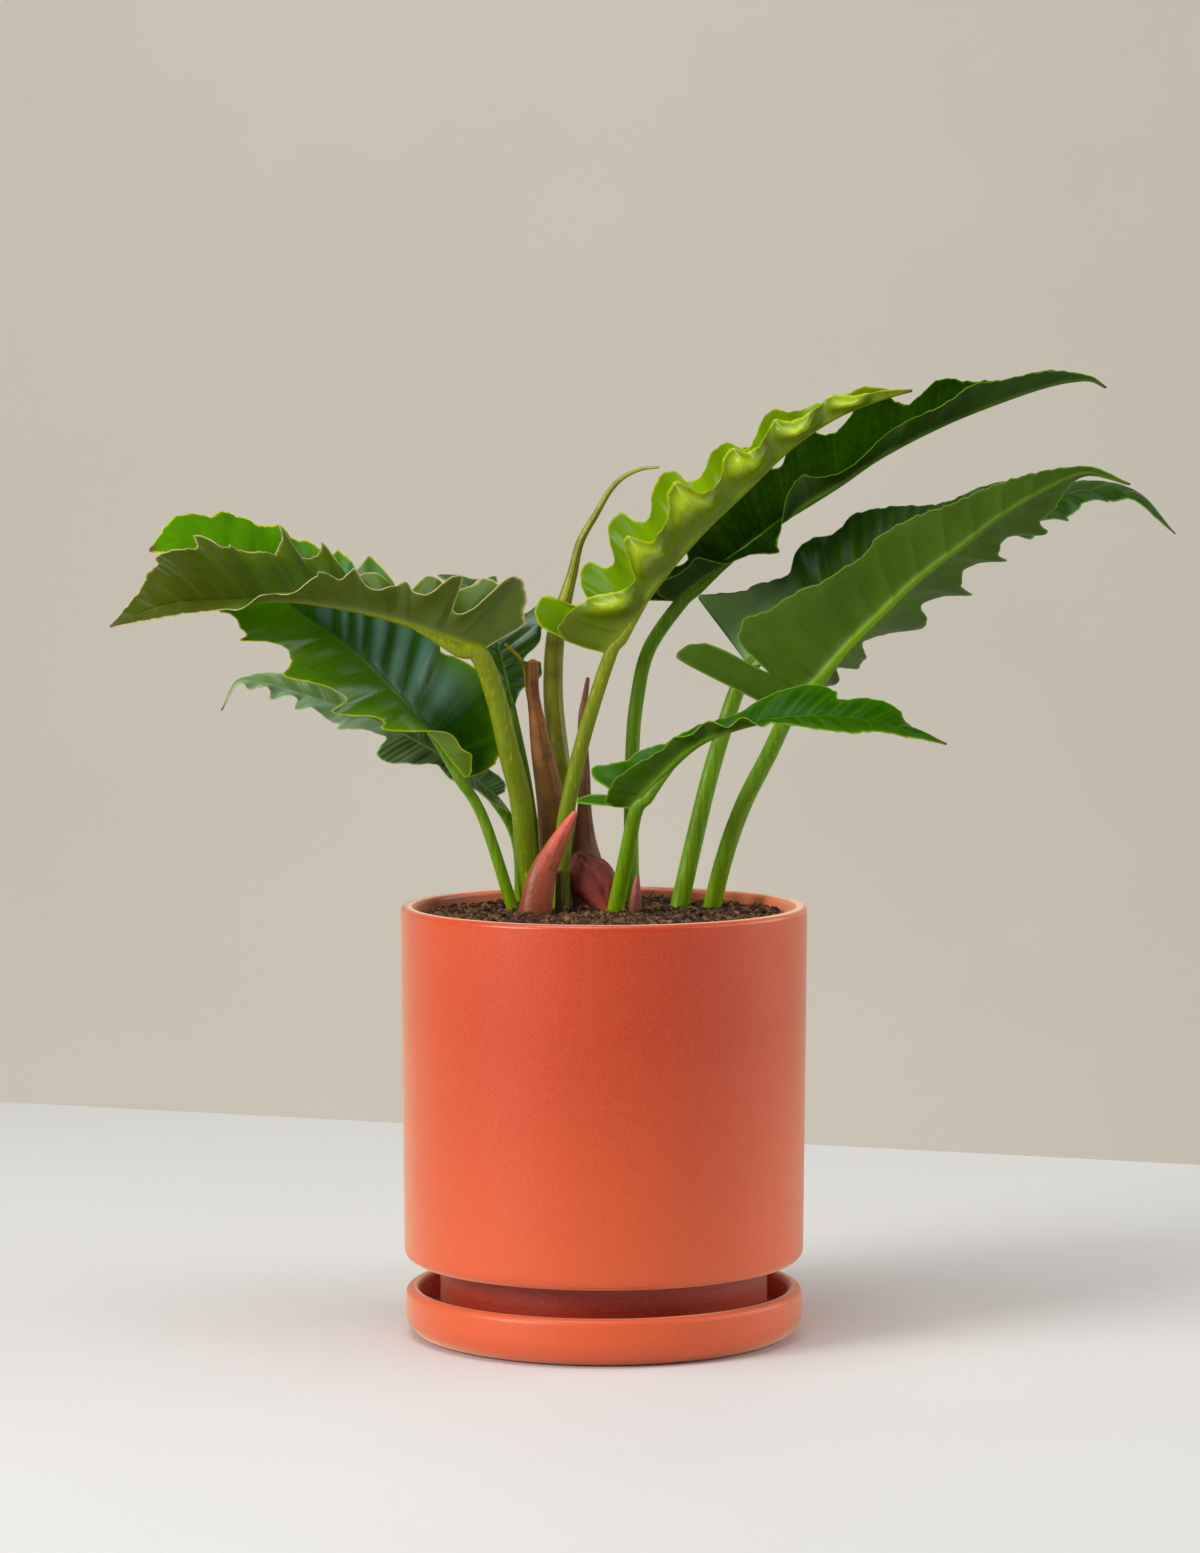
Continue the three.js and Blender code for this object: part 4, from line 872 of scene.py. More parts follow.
def leaf_material(name, look):
    """A leaf's two faces: gloss and groove lines on top, matt with raised veins below, a thin pale margin."""
    shader = Shader("leaf_" + name, specular=look["shine"])
    under, vein, stripe = [shader.attribute(field) for field in ("under", "vein", "stripe")]
    clouds, fine = shader.pattern("leaf_clouds"), shader.pattern("leaf_fine")
    top, shine = leaf_top(shader, look)
    top = shader.mix(shader.times(clouds, CLOUD_SHARE), top, BLACK)
    top = shader.mix(shader.times(vein, look.get("veins", VEIN_SHARE)), top, look["rib_top"])
    below = shader.mix(clouds, look["under"], toned(look["under"], UNDER_CLOUDS))
    below = shader.mix(shader.times(vein, UNDER_VEIN_SHARE), below, toned(look["under"], UNDER_VEINS))
    face = shader.mix(under, top, below)
    # Painted highlight: pale yellow-green on the peaks of the near half's pouches
    if "bulge_highlight" in look:
        bulge_highlight = shader.times(shader.attribute("near"), shader.attribute("bulge_highlight"))
        face = shader.mix(shader.span(bulge_highlight, *BULGE_HIGHLIGHT_PART, 0, BULGE_HIGHLIGHT_SHARE), face, look["bulge_highlight"])
    for line, share in ((stripe, look["stripes"]), (fine, FINE_SHARE)):
        face = shader.mix(shader.times(line, share), face, look["rib_under"])
    rib = shader.choose(under, shader.attribute("groove"), shader.attribute("rib"))
    rib = shader.times(rib, shader.where("along", *RIB_PART, *RIB_SHARES))
    face = shader.mix(rib, face, shader.mix(under, look["rib_top"], look["rib_under"]))
    face = shader.mix(shader.attribute("edge"), face, look["margin"])
    shader.colour(shader.mix(shader.where("along", *TIP_PART), face, BROWN_TIP))
    gloss = shader.pattern("leaf_gloss", *[look["gloss"] + end for end in GLOSS_RANGE])
    shader.roughness(shader.plus(gloss, shader.times(under, UNDER_ROUGHER)))
    reflection = shader.choose(under, shine, look["under_shine"])
    shader.feed(shader.principled.inputs["Specular IOR Level"], reflection)
    shader.bump(shader.plus(shader.times(stripe, STRIPE_RELIEF), fine), depth=0.00004)
    return shader.material


def stalk_material(name, look):
    """A smooth stalk, fresher low down, with long faint stripes and small pale dashes."""
    shader = Shader(name, roughness=0.4, specular=0.28)
    stripes = shader.pattern("stalk_stripes", stretch=STRIPE_STRETCH)
    dashes = shader.pattern("stalk_dashes", 0, DASH_SHARE, DASH_STRETCH)
    body = shader.mix(shader.attribute("along"), look["low"], look["high"])
    body = shader.mix(shader.times(stripes, STRIPE_SHARE), body, toned(look["high"], STRIPE_TONE))
    shader.colour(shader.mix(dashes, body, toned(look["high"], DASH_TONE)))
    shader.roughness(shader.pattern("stalk_gloss", *STALK_ROUGHNESS))
    shader.bump(stripes, depth=0.0002)
    return shader.material


def shoot_material(name, look):
    """A sheath, bract or rolled leaf: two tones along its length under long streaks and dark blotches."""
    shader = Shader("shoot_" + name, roughness=look["roughness"], specular=0.4)
    streak = shader.where("streak", *STREAK_PART)
    blotches = shader.pattern("shoot_blotches", 0, BLOTCH_SHARE)
    body = shader.mix(shader.where("along", *SHOOT_PART), look["low"], look["high"])
    body = shader.mix(shader.times(streak, STREAK_SHARE), body, look["streak"])
    shader.colour(shader.mix(blotches, body, toned(look["streak"], BLOTCH_TONE)))
    shader.bump(shader.plus(streak, shader.noise(scale=700, detail=3)), depth=0.00025)
    return shader.material


def arc(centre, radius, start, end, steps):
    """Points centre + radius (cos a, sin a) of a profile, with a from start to end in degrees."""
    a = np.radians(np.linspace(start, end, steps + 1))
    return np.stack([centre[0] + radius * np.cos(a), centre[1] + radius * np.sin(a)], axis=1)


def finely(outline, longest):
    """The outline with its long straight stretches split."""
    split = []
    for a, b in zip(outline[:-1], outline[1:]):
        steps = max(1, int(np.ceil(np.linalg.norm(b - a) / longest)))
        split.append(a + (b - a) * np.arange(steps)[:, None] / steps)
    return np.vstack([*split, outline[-1:]])


def round_rings(outline):
    """p(a) = (r cos a, r sin a, z) for each outline point (r, z), at even steps of a round the axis."""
    turn = np.linspace(0, 2 * np.pi, TURNED_STEPS, endpoint=False)
    r, z = outline[:, :1], outline[:, 1:]
    return np.stack([r * np.cos(turn), r * np.sin(turn), z + 0 * turn], axis=-1)


def closed_tube(rings, start, end):
    """Rings of points from start to end as points and faces, with one point that closes each end."""
    rows, sides = rings.shape[:2]
    points = np.vstack([rings.reshape(-1, 3), start[None], end[None]])
    j = np.arange(sides)
    following = (j + 1) % sides
    last = (rows - 1) * sides
    faces = [
        grid_faces(rows, sides, closed=True),
        np.stack([np.full_like(j, rows * sides), following, j], axis=1),
        np.stack([np.full_like(j, rows * sides + 1), last + j, last + following], axis=1),
    ]
    return points, faces


def turned(name, outline, loop):
    """A body of revolution: the outline's round_rings with faces between them.

    A loop joins its last point to its first. Any other outline starts and ends on the axis.
    """
    if loop:
        points = round_rings(outline).reshape(-1, 3)
        faces = [grid_faces(len(outline) + 1, TURNED_STEPS, closed=True) % len(points)]
    else:
        start, end = [np.array([0, 0, z]) for z in outline[[0, -1], 1]]
        points, faces = closed_tube(round_rings(outline[1:-1]), start, end)
    return make_piece(name, points, [part[:, ::-1] for part in faces])


def saucer(material):
    """A turned outline: the flat underside, the round corner, the lip, a fillet and the floor."""
    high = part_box("saucer")[1]
    radius, height = high.x / MM, high.z / MM
    lip_centre = (radius - SAUCER_LIP - SAUCER_LIP_SET_IN, height - SAUCER_LIP)
    fillet_centre = (SAUCER_INNER_RADIUS - SAUCER_FILLET, SAUCER_FLOOR + SAUCER_FILLET)
    outline = np.vstack([
        [(0, 0)],
        arc((radius - SAUCER_CORNER, SAUCER_CORNER), SAUCER_CORNER, -90, 0, steps=16),
        arc(lip_centre, SAUCER_LIP, *SAUCER_LIP_ARC, steps=18),
        arc(fillet_centre, SAUCER_FILLET, 0, -90, steps=8),
        [(0, SAUCER_FLOOR)],
    ])
    piece = turned("saucer_glazed", finely(outline, LONGEST_STRETCH), loop=False)
    place_piece(piece, material, "saucer")


def pot(material):
    """A turned loop: the underside from the drain hole out, the foot, wall, rim, shelf and floor."""
    low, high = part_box("pot")
    rim_radius, rim, bottom = high.x / MM, high.z / MM, low.z / MM
    shoulder = rim_radius - POT_TAPER
    inner = rim_radius - POT_WALL
    rim_height = rim - RIM_ROUND
    foot_height = bottom + FOOT_ROUND
    outline = np.vstack([
        [(DRAIN_RADIUS, bottom + FOOT_RECESS)],
        [(FOOT_RECESS_RADIUS, bottom + FOOT_RECESS)],
        arc((FOOT_RECESS_RADIUS + FOOT_ROUND, foot_height), FOOT_ROUND, 180, 270, steps=4),
        arc((FOOT_RADIUS - FOOT_ROUND, foot_height), FOOT_ROUND, -90, 0, steps=4),
        [(FOOT_RADIUS, POT_EDGE)],
        arc((shoulder - POT_CORNER, POT_EDGE + POT_CORNER), POT_CORNER, *POT_CORNER_ARC, steps=12),
        arc((rim_radius - RIM_ROUND, rim_height), RIM_ROUND, 0, 90, steps=9),
        arc((inner + RIM_ROUND, rim_height), RIM_ROUND, 90, 180, steps=9),
        arc((shoulder - POT_WALL - POT_FILLET, POT_SHELF + POT_FILLET), POT_FILLET, 0, -90, steps=6),
        [(FOOT_INNER_RADIUS, POT_SHELF), (FOOT_INNER_RADIUS, POT_FLOOR), (DRAIN_RADIUS, POT_FLOOR)],
    ])
    piece = turned("pot_glazed", finely(outline, LONGEST_STRETCH), loop=True)
    place_piece(piece, material, "pot")


def soil_height(x, y):
    """The height of the lumps: the sum of h sin(a x + b y + c) over the waves."""
    return sum(height * np.sin(a * x + b * y + start) for height, a, b, start in SOIL_WAVES)


def soil_bed(material):
    """The potting mix: rings on its foot and shelf, and over them its top as rings of even steps inwards.

    The top lies at SOIL_TOP - SOIL_BED_DROP, with the lumps of soil_height and the grain
    SOIL_GRAIN sin(0.9 x + 1.3 sin 0.7 y) cos(0.8 y - 0.4 x). The tone is 0.25 + 0.2 sin 0.8 x cos 0.9 y.
    """
    low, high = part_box("soil")
    radius, depth = high.x / MM, low.z / MM
    shelf = POT_SHELF + SOIL_GAP
    foot = FOOT_INNER_RADIUS - SOIL_GAP
    corner = (radius - POT_FILLET - SOIL_CORNER_IN, shelf)
    edge = (radius - SOIL_EDGE, shelf + POT_FILLET + SOIL_CORNER_UP)
    sides = round_rings(np.array([(foot, depth), (foot, shelf), corner, edge]))
    top = np.full((SOIL_RINGS, 2), SOIL_TOP - SOIL_BED_DROP)
    top[:, 0] = np.linspace(1, SOIL_CENTRE, SOIL_RINGS) * radius
    top = round_rings(top)
    x, y = top[..., 0], top[..., 1]
    grain = SOIL_GRAIN * np.sin(0.9 * x + 1.3 * np.sin(0.7 * y)) * np.cos(0.8 * y - 0.4 * x)
    top[..., 2] += soil_height(x, y) + grain
    points, faces = closed_tube(np.vstack([sides, top]), np.array([0, 0, depth]), np.array([0, 0, SOIL_TOP]))
    tone = 0.25 + 0.2 * np.sin(0.8 * points[:, 0]) * np.cos(0.9 * points[:, 1])
    piece = make_piece("soil_bed", points, faces, {"tone": tone})
    place_piece(piece, material, "soil")


def lump_shape():
    """The 12 corners and 20 faces of an icosahedron, the start of each crumb."""
    g = (1 + 5 ** 0.5) / 2
    corners = np.array([
        (-1, g, 0), (1, g, 0), (-1, -g, 0), (1, -g, 0),
        (0, -1, g), (0, 1, g), (0, -1, -g), (0, 1, -g),
        (g, 0, -1), (g, 0, 1), (-g, 0, -1), (-g, 0, 1),
    ])
    faces = np.array([
        (0, 11, 5), (0, 5, 1), (0, 1, 7), (0, 7, 10), (0, 10, 11),
        (1, 5, 9), (5, 11, 4), (11, 10, 2), (10, 7, 6), (7, 1, 8),
        (3, 9, 4), (3, 4, 2), (3, 2, 6), (3, 6, 8), (3, 8, 9),
        (4, 9, 5), (2, 4, 11), (6, 2, 10), (8, 6, 7), (9, 8, 1),
    ])
    return corners / (1 + g * g) ** 0.5, faces


def turns(random, count):
    """Turning matrices from random unit quaternions (w, x, y, z)."""
    w, x, y, z = unit(random.normal(size=(count, 4))).T
    return np.stack([
        np.stack([1 - 2 * (y * y + z * z), 2 * (x * y - z * w), 2 * (x * z + y * w)], axis=-1),
        np.stack([2 * (x * y + z * w), 1 - 2 * (x * x + z * z), 2 * (y * z - x * w)], axis=-1),
        np.stack([2 * (x * z - y * w), 2 * (y * z + x * w), 1 - 2 * (x * x + y * y)], axis=-1),
    ], axis=-2)


def scattered(name, material, count, size, shape, tones):
    """Crumbs on the soil: corners c of a lump become place + turn (shape size c (1 + rough))."""
    random = np.random.default_rng(SEED + count)
    corners, faces = lump_shape()
    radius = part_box("soil")[1].x / MM
    r = (radius - BITS_INSET) * np.sqrt(random.uniform(0, 1, count))
    a = random.uniform(0, 2 * np.pi, count)
    x, y = r * np.cos(a), r * np.sin(a)
    big = random.uniform(*size, count)
    place = np.stack([x, y, SOIL_TOP + soil_height(x, y) - BIT_SUNK * big], axis=1)
    stretch = np.array(shape) * random.uniform(*BIT_STRETCH, (count, 3))
    rough = 1 + random.uniform(-BIT_ROUGHNESS, BIT_ROUGHNESS, (count, len(corners), 1))
    lumps = corners[None] * rough * (stretch * big[:, None])[:, None]
    lumps = np.einsum("nij,nkj->nki", turns(random, count), lumps)
    points = (place[:, None] + lumps).reshape(-1, 3)
    edge = np.maximum(np.hypot(points[:, 0], points[:, 1]), SMALLEST_LENGTH)
    points[:, :2] *= np.minimum(1, (radius - BIT_GAP) / edge)[:, None]
    every = (faces[None] + len(corners) * np.arange(count)[:, None, None]).reshape(-1, 3)
    tone = np.repeat(random.uniform(*tones, count), len(corners))
    piece = make_piece(name, points, [every], {"tone": tone})
    place_piece(piece, material)


def tube_frames(route, places):
    """Directions across a route that turn as little as they can: each is the last one less its part along."""
    across = np.array([1.0, 0.0, 0.0])
    frames = []
    for along in route.along(places):
        across = unit(across - along * (across @ along))
        frames.append((across, np.cross(along, across)))
    return np.array(frames)


def tube_places(route, end_radius):
    """Places of rings along a route, closer towards its end, and DOME_STEPS of them over the rounded end."""
    end_share = max(float(end_radius) / route.length, LEAST_DOME)
    body = np.linspace(0, 1, int(route.length / STALK_STEP) + LEAST_STEPS) ** STEPS_CROWD
    dome = 1 - end_share * np.linspace(1, DOME_LAST, DOME_STEPS)
    return np.unique(np.concatenate([body[body < 1 - end_share], dome])), end_share


def streaks(places, turn):
    """0.5 and the sum over k of STREAK_HEIGHT sin(k a + STREAK_TWIST k s + start) / sqrt(k)."""
    random = np.random.default_rng(SEED)
    waves = 0.5 + 0 * (places + turn)
    for k in STREAK_WAVES:
        start = random.uniform(*WAVE_STARTS)
        waves = waves + STREAK_HEIGHT / k ** 0.5 * np.sin(k * turn + STREAK_TWIST * k * places + start)
    return waves


def tube(name, route, radius, section, flat=1.0, torn=0.0):
    """p(s, a) = route(s) + R (across cos a + flat back sin a), with R = radius(s) dome(s) section(s, a).

    dome(s) = sqrt(1 - t t) rounds the far end over its own radius, with t the share of that stretch. A torn
    end moves along the route by torn (sin 7 a + sin 17 a / 2 + sin 5 a) / 2.5, all of it past TORN_PART.
    """
    places, end_share = tube_places(route, radius(np.array([1.0]))[0])
    dome = np.sqrt(1 - np.clip((places - 1 + end_share) / end_share, 0, 1) ** 2)
    frames = tube_frames(route, places)
    across, back = frames[:, None, 0], frames[:, None, 1]
    s, a = places[:, None], np.linspace(0, 2 * np.pi, STALK_SIDES + 1)[None]
    size = (radius(places) * dome)[:, None] * section(s, a)
    notches = torn * (np.sin(7 * a) + 0.5 * np.sin(17 * a) + np.sin(5 * a)) / 2.5
    lines = route.point(places)[:, None] + across * (size * np.cos(a))[..., None]
    lines = lines + back * (flat * size * np.sin(a))[..., None]
    lines = lines + route.along(1.0) * (smooth(s, *TORN_PART) * notches)[..., None]
    points, faces = closed_tube(lines, route.point(0.0), route.point(1.0))
    along = np.concatenate([np.repeat(places, a.size), [0, 1]])
    streak = np.concatenate([streaks(s, a).ravel(), [0.5, 0.5]])
    return make_piece(name, points, faces, {"along": along, "streak": streak})


def rooted(points):
    """A route whose first point lies on the soil starts ROOTED_DEPTH lower."""
    points = np.array(points, float)
    lean = unit(points[1] - points[0])
    points[0] = points[0] - lean * ROOTED_DEPTH / lean[2]
    return Route(points)


def midrib_frame(midrib, place):
    """Along the midrib at a place, to its right, and off its top face."""
    along = midrib.along(np.clip(place, 0, 1))
    right = unit(np.cross(along, UP))
    return along, right, np.cross(right, along)


def margin_line(margin, length, random):
    """A margin as close places along the midrib and the reach there.

    It runs halfway between the straight line through the points and their smooth run. Then each point is the
    mean of its neighbours under the weight exp(-(d / MARGIN_ROUNDING) ** 2), and fine waves are added: sines
    of their own lengths, which are full where the reach is MARGIN_WAVES_FULL_AT or more.
    """
    points = np.array(margin, float) * (length, 1)
    stations = np.linspace(0, 1, len(points))
    fine = np.linspace(0, 1, len(points) * MARGIN_SAMPLES)
    line = np.stack([np.interp(fine, stations, c) + run(c, fine) for c in points.T], axis=1) / 2
    walked = np.concatenate([[0], np.cumsum(np.linalg.norm(np.diff(line, axis=0), axis=1))])
    even = np.arange(0, walked[-1], MARGIN_STEP)
    line = np.stack([np.interp(even, walked, c) for c in line.T], axis=1)
    wide = int(ROUNDING_REACH * MARGIN_ROUNDING / MARGIN_STEP)
    weights = bell(np.arange(-wide, wide + 1) * MARGIN_STEP, MARGIN_ROUNDING)
    padded = np.pad(line, ((wide, wide), (0, 0)), "edge")
    place, reach = (np.convolve(c, weights / weights.sum(), "valid") for c in padded.T)
    for wave_length, height in MARGIN_WAVES:
        wave = np.sin(2 * np.pi * even / wave_length + random.uniform(*WAVE_STARTS))
        reach = reach + height * wave * np.minimum(1, reach / MARGIN_WAVES_FULL_AT)
    place = np.maximum.accumulate(place) + CLOSEST_PLACES * np.arange(len(place))
    return (place - place[0]) / (place[-1] - place[0]), np.maximum(reach, LEAST_REACH)


def sinuses_and_tips(margin):
    """The places where the reach is less than on both sides, and those where it is more."""
    place, reach = np.array(margin, float).T
    before, here, after = reach[:-2], reach[1:-1], reach[2:]
    inner = place[1:-1]
    return inner[(here < before) & (here <= after)], inner[(here > before) & (here >= after)]


class HalfBlade:
    """Half a leaf blade, on the left of the midrib with side -1 and on its right with side 1.

    The point at place s of the midrib and reach v lies u = s L + v tan(sweep) along the midrib, on an arc
    that leaves it at the rise and turns by the curl: out = v (sin(rise + curl) - sin(rise)) / curl and
    lift = v (cos(rise) - cos(rise + curl)) / curl. With q the share of the way to the margin and t counting
    the teeth, it moves off the face by
    calm (ruffle q q sin(2 pi t) - pouch sin(pi q ** POUCH_LEAN) sin(pi t) ** 2),
    where calm rises from 0 to 1 over RUFFLE_GROWS and falls back over RUFFLE_FADES.
    """

    def __init__(self, half, side, sweep, midrib, random):
        self.half = half
        self.side = side
        self.sweep = sweep
        self.midrib = midrib
        self.place, self.reach = margin_line(half["margin"], midrib.length, random)
        self.sinuses, self.tips = sinuses_and_tips(half["margin"])

    def reach_at(self, s):
        return np.interp(s, self.place, self.reach)

    def teeth(self, s):
        """A count that grows by 1 from sinus to sinus."""
        first = 2 * self.sinuses[0] - self.sinuses[1]
        last = 2 * self.sinuses[-1] - self.sinuses[-2]
        marks = [first, *self.sinuses, last]
        return np.interp(s, marks, np.arange(len(marks)) - 1.0)

    def at(self, s, v, q):
        half, midrib = self.half, self.midrib
        u = s * midrib.length + v * np.tan(np.radians(run(self.sweep, s)))
        place = np.clip(u / midrib.length, 0, 1)
        along, right, top = midrib_frame(midrib, place)
        rise = np.radians(run(half["rise"], place))
        curl = q * np.radians(run(half.get("curl", [0, 0]), place)) + SMALLEST_ANGLE
        out = v / curl * (np.sin(rise + curl) - np.sin(rise))
        lift = v / curl * (np.cos(rise) - np.cos(rise + curl))
        calm = smooth(s, *RUFFLE_GROWS) * (1 - smooth(s, *RUFFLE_FADES))
        count = self.teeth(s)
        sunk = half.get("pouch", 0) * np.sin(np.pi * q ** POUCH_LEAN) * np.sin(np.pi * count) ** 2
        wave = calm * (half["ruffle"] * q * q * np.sin(2 * np.pi * count) - sunk)
        out = self.side * (out - wave * np.sin(rise + curl))
        lift = lift + wave * np.cos(rise + curl)
        beyond = along * (u - place * midrib.length)[..., None]
        return midrib.point(place) + beyond + right * out[..., None] + top * lift[..., None]

    def normal(self, s, q):
        """Off the top face, from small steps along the midrib and outwards."""
        reach = self.reach_at(s)
        v = q * reach
        along = self.at(s + NORMAL_STEP, v, q) - self.at(s - NORMAL_STEP, v, q)
        outwards = self.at(s, v + NORMAL_REACH, q + NORMAL_REACH / reach) - self.at(s, v, q)
        return unit(np.cross(self.side * outwards, along))

    def vein_places(self):
        """Where the side veins leave: one for each tooth, and more where they would stand far apart."""
        marks = [0.0, *self.tips, 1.0]
        places = []
        for a, b in zip(marks, marks[1:]):
            places.append(np.linspace(a, b, int((b - a) / WIDEST_VEIN_GAP) + 1, endpoint=False))
        return np.concatenate(places)[1:]

    def vein_distance(self, s):
        return np.abs(s[..., None] - self.vein_places()).min(axis=-1) * self.midrib.length

    def margin_distance(self, s, v):
        """The distance to the nearest of every second point of the margin, in the flattened blade."""
        line = np.stack([self.place * self.midrib.length, self.reach], axis=1)[::2].astype(np.float32)
        points = np.stack([s * self.midrib.length + 0 * v, v], axis=-1).astype(np.float32)
        distance = [np.linalg.norm(row[:, None] - line[None], axis=-1).min(axis=1) for row in points]
        return np.array(distance)


def blade_rows(halves):
    """Places of rows: even ones, and more where the margins run steeply."""
    close = np.concatenate([np.linspace(0, 1, EVEN_ROWS), *[half.place[::ROW_STEPS] for half in halves]])
    rows = [0.0]
    for place in np.sort(close):
        if place - rows[-1] >= CLOSEST_ROWS:
            rows.append(place)
    rows[-1] = 1.0
    return np.array(rows)[:, None]


def side_by_side(left, right):
    """One grid from the left margin to the right one. The midrib's own column is the right half's."""
    return np.concatenate([left[:, :0:-1], right], axis=1)


def blade_faces(rows, columns):
    """The faces of a grid on top, of the same grid turned over below it, and of the rim round both."""
    size = rows * columns
    edge = np.concatenate([
        np.arange(columns),
        np.arange(1, rows) * columns + columns - 1,
        (rows - 1) * columns + np.arange(columns - 2, -1, -1),
        np.arange(rows - 2, 0, -1) * columns,
    ])
    after = np.roll(edge, -1)
    return [
        grid_faces(rows, columns),
        grid_faces(rows, columns, start=size)[:, ::-1],
        np.stack([edge, edge + size, after + size, after], axis=1),
    ]


def blade(leaf, material, seed):
    """A leaf blade: top face p + (swell - groove) n, lower face p + (swell - thickness - ridge) n, and a rim.

    Between the side veins it swells by SWELL smooth(d) sin(pi q) ** SWELL_FLATNESS, with d the distance to
    the nearest one. The grooves and ridges of the midrib and the veins are bells of the distance to them, and
    the midrib's own size falls evenly towards the tip.
    """
    midrib = Route(leaf["midrib"])
    random = np.random.default_rng(seed)
    sides = (leaf["near"], leaf["far"]) if leaf["leans_left"] else (leaf["far"], leaf["near"])
    halves = [HalfBlade(half, side, leaf["sweep"], midrib, random) for half, side in zip(sides, (-1, 1))]
    rows = blade_rows(halves)
    columns = 0.5 - 0.5 * np.cos(np.pi * np.linspace(0, 1, COLUMNS + 1))[None]
    s, q = rows + 0 * columns, columns + 0 * rows
    reaches = [q * half.reach_at(s) for half in halves]
    normals = [half.normal(s, q) for half in halves]

    place, across, reach = side_by_side(s, s), side_by_side(q, q), side_by_side(*reaches)
    points = side_by_side(*[half.at(s, v, q) for half, v in zip(halves, reaches)])
    margin = side_by_side(*[half.margin_distance(s, v) for half, v in zip(halves, reaches)])
    vein = side_by_side(*[half.vein_distance(s) for half in halves])
    count = side_by_side(*[half.teeth(s) for half in halves])
    near = side_by_side(*[np.full_like(s, half.half is leaf["near"]) for half in halves])
    normal = side_by_side(*normals)
    normal[:, COLUMNS] = unit(normals[0][:, 0] + normals[1][:, 0])

    rib = RIB_SHARE * leaf["stalk_radius"][1] * (1 - place) + RIB_LEAST
    vein_bell = bell(vein, VEIN_WIDTH) * (1 - smooth(across, *VEIN_FADES)) * smooth(across, *VEIN_STARTS)
    between = smooth(vein, *SWELL_FROM_VEIN) * np.sin(np.pi * across) ** SWELL_FLATNESS
    swell = SWELL * between * smooth(place, *SWELL_GROWS) * (1 - smooth(place, *SWELL_FADES))
    groove = RIB_GROOVE * rib * bell(reach, np.polyval(RIB_GROOVE_WIDTH, rib)) + VEIN_GROOVE * vein_bell
    ridge = RIB_RIDGE * rib * bell(reach, np.polyval(RIB_RIDGE_WIDTH, rib)) + VEIN_RIDGE * vein_bell
    thickness = MARGIN_THICKNESS + (BLADE_THICKNESS - MARGIN_THICKNESS) * smooth(margin, *MARGIN_TAPER)
    faces_off = (swell - groove, swell - thickness - ridge)
    grids = [(points + normal * off[..., None]).reshape(-1, 3) for off in faces_off]

    fields = {
        "across": across,
        "near": near,
        "along": place,
        "vein": vein_bell,
        "rib": bell(reach, np.polyval(RIB_COLOUR_WIDTH, rib), power=4),
        "groove": bell(reach, np.polyval(GROOVE_COLOUR_WIDTH, rib), power=4),
        "swell": between,
        # Where the pouches peak, for the painted highlight there
        "bulge_highlight": np.sin(np.pi * across ** POUCH_LEAN) * np.sin(np.pi * count) ** 2,
        "edge": 1 - smooth(margin, *MARGIN_LINE),
        "stripe": 0.5 + 0.5 * np.cos(2 * np.pi * count * STRIPES_A_TOOTH) * smooth(across, *STRIPES_START),
    }
    on_both = {name: np.tile(values.ravel(), 2) for name, values in fields.items()}
    on_both["under"] = np.repeat([0.0, 1.0], reach.size)
    piece = make_piece("blade_fine_" + leaf["name"], np.vstack(grids), blade_faces(*reach.shape), on_both)
    place_piece(piece, material, "blade_" + leaf["name"])


def stalk(leaf, material):
    """A leaf's stalk runs on under the midrib as its thick lower end, and tapers away there.

    Its section is 1 + STALK_LOBES cos(3 a + 2 s), less a channel of
    CHANNEL_DEPTH exp(-((a - CHANNEL_PLACE) / CHANNEL_WIDTH) ** 2).
    """
    midrib = Route(leaf["midrib"])
    low, high = leaf["stalk_radius"]
    end = midrib.point(0.0) - STALK_DROP * midrib_frame(midrib, np.array(0.0))[2]
    free = rooted([*leaf["stalk"], end])
    under = np.array(STALK_RUNS_ON)
    depth = high * (1 - under / STALK_END)
    merged = midrib.point(under) - midrib_frame(midrib, under)[2] * depth[:, None]
    route = rooted([*leaf["stalk"], end, *merged])
    share = free.length / route.length

    def radius(s):
        thinner = STALK_THINS * np.clip((s - share) / (1 - share), 0, 1)
        return np.where(s < share, low + (high - low) * s / share, high * (1 - thinner))

    def section(s, a):
        channel = CHANNEL_DEPTH * bell(a - CHANNEL_PLACE, CHANNEL_WIDTH)
        return 1 + STALK_LOBES * np.cos(3 * a + 2 * s) - channel

    piece = tube("stalk_fine_" + leaf["name"], route, radius, section)
    place_piece(piece, material, "stalk_" + leaf["name"])


def shoot(part, material):
    """A shoot's section is rolled: 1 + lap (a / 2 pi - 1 / 2) with fine ribs SHOOT_RIBS cos(ribs a + 3 s)."""
    def radius(s):
        return run(part["radius"], s)

    def section(s, a):
        rolled = 1 + part["lap"] * (a / (2 * np.pi) - 0.5)
        return rolled + (SHOOT_RIBS * np.cos(part["ribs"] * a + 3 * s) if part["ribs"] else 0)

    route = rooted(part["route"])
    piece = tube(part["name"] + "_fine", route, radius, section, part["flat"], part.get("torn", 0))
    place_piece(piece, material, part["name"])


def plant():
    leaf_looks = {name: leaf_material(name, look) for name, look in LEAF_LOOKS.items()}
    stalk_looks = {name: stalk_material(name, look) for name, look in STALK_LOOKS.items()}
    shoot_looks = {name: shoot_material(name, look) for name, look in SHOOT_LOOKS.items()}
    for seed, leaf in enumerate(LEAVES):
        blade(leaf, leaf_looks[leaf["look"]], seed)
        stalk(leaf, stalk_looks[leaf["stalk_slot"]])
    for part in SHOOTS:
        shoot(part, shoot_looks[part["look"]])


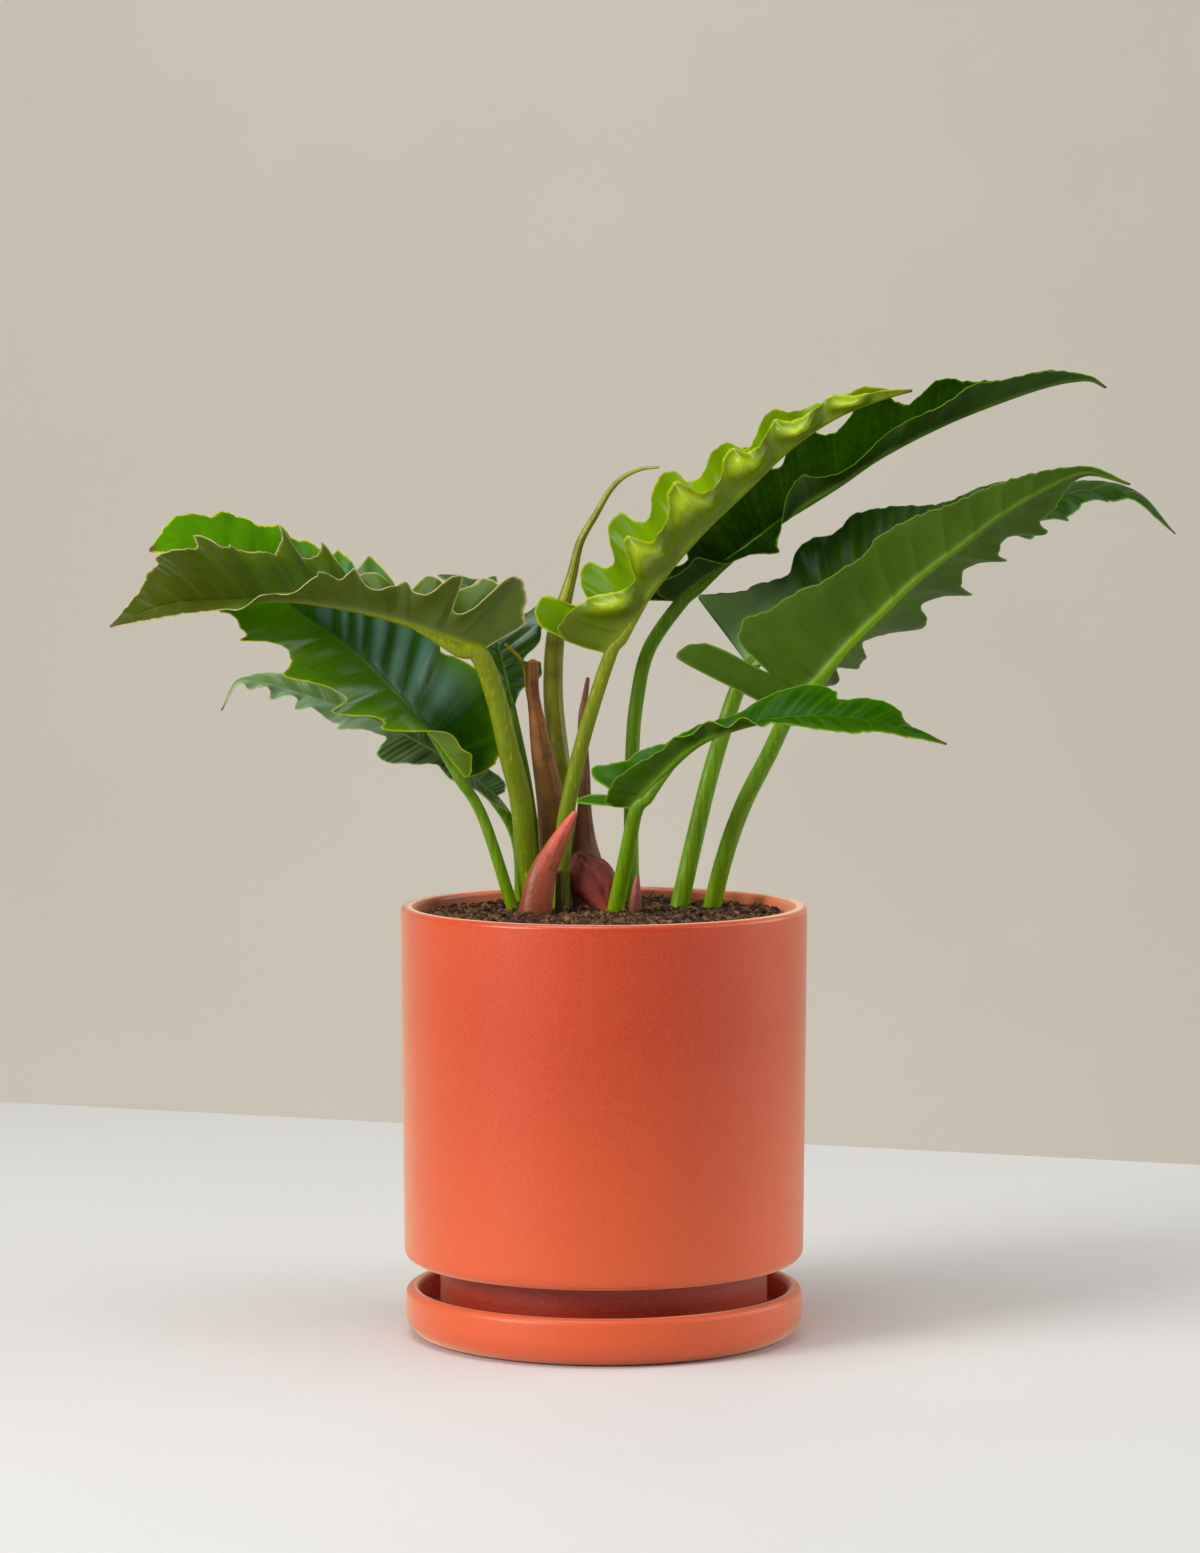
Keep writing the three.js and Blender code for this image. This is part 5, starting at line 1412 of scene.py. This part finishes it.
def stage_material(name, colour, roughness):
    """Plain paint in one colour, faintly cloudy and grainy."""
    shader = Shader(name, roughness=roughness, specular=0.25)
    shader.colour(shader.mix(shader.pattern("stage_clouds"), colour, toned(colour, ROOM_CLOUDS)))
    shader.bump(shader.noise(scale=500, detail=3), depth=0.00005)
    return shader.material


def table_top():
    """A pale table as a slab under its four corners."""
    levels = [np.column_stack([TABLE_CORNERS, np.full(4, level)]) for level in (0, -TABLE_THICKNESS)]
    sides = np.array([(j, (j + 1) % 4, (j + 1) % 4 + 4, j + 4) for j in range(4)])
    faces = [np.array([(0, 1, 2, 3), (7, 6, 5, 4)]), sides[:, ::-1]]
    piece = make_piece("table_top", np.vstack(levels) / MM, faces)
    piece.data.materials.append(stage_material("table_pale", **TABLE_LOOK))


def wall():
    """An upright wall behind the table."""
    piece = make_piece("wall", np.array(WALL_CORNERS) / MM, [np.array([(0, 1, 2, 3)])])
    piece.data.materials.append(stage_material("wall_paint", **WALL_LOOK))


def area_light(name, place, target, size, power, colour):
    light = bpy.data.lights.new(name, "AREA")
    light.shape = "RECTANGLE"
    light.size, light.size_y = size
    light.energy = power
    light.color = colour
    lamp = bpy.data.objects.new(name, light)
    lamp.location = place
    lamp.rotation_euler = Vector(np.subtract(target, place)).to_track_quat("-Z", "Y").to_euler()
    bpy.context.scene.collection.objects.link(lamp)


def lights():
    """A dim even room, and the LIGHTS in it."""
    world = bpy.data.worlds.new("soft_room")
    world.use_nodes = True
    background = world.node_tree.nodes["Background"]
    background.inputs["Color"].default_value = linear(ROOM_COLOUR)
    background.inputs["Strength"].default_value = ROOM_STRENGTH
    bpy.context.scene.world = world
    for light in LIGHTS:
        area_light(*light)


def camera():
    data = bpy.data.cameras.new("camera")
    data.sensor_width = SENSOR
    data.lens = SENSOR * FOCAL_PIXELS / IMAGE_HEIGHT
    view = bpy.data.objects.new("camera", data)
    view.location = CAMERA_PLACE
    view.rotation_euler = (math.radians(90 - CAMERA_PITCH), 0, 0)
    bpy.context.scene.collection.objects.link(view)
    bpy.context.scene.camera = view


camera()
lights()
table_top()
wall()
clay = clay_material()
saucer(clay)
pot(clay)
soil_bed(soil_material("soil"))
crumb_material = soil_material("crumbs")
for bit, facts in LOOSE_BITS.items():
    scattered(bit, crumb_material, **facts)
plant()
bpy.context.scene.view_settings.view_transform = "Standard"
bpy.context.view_layer.update()
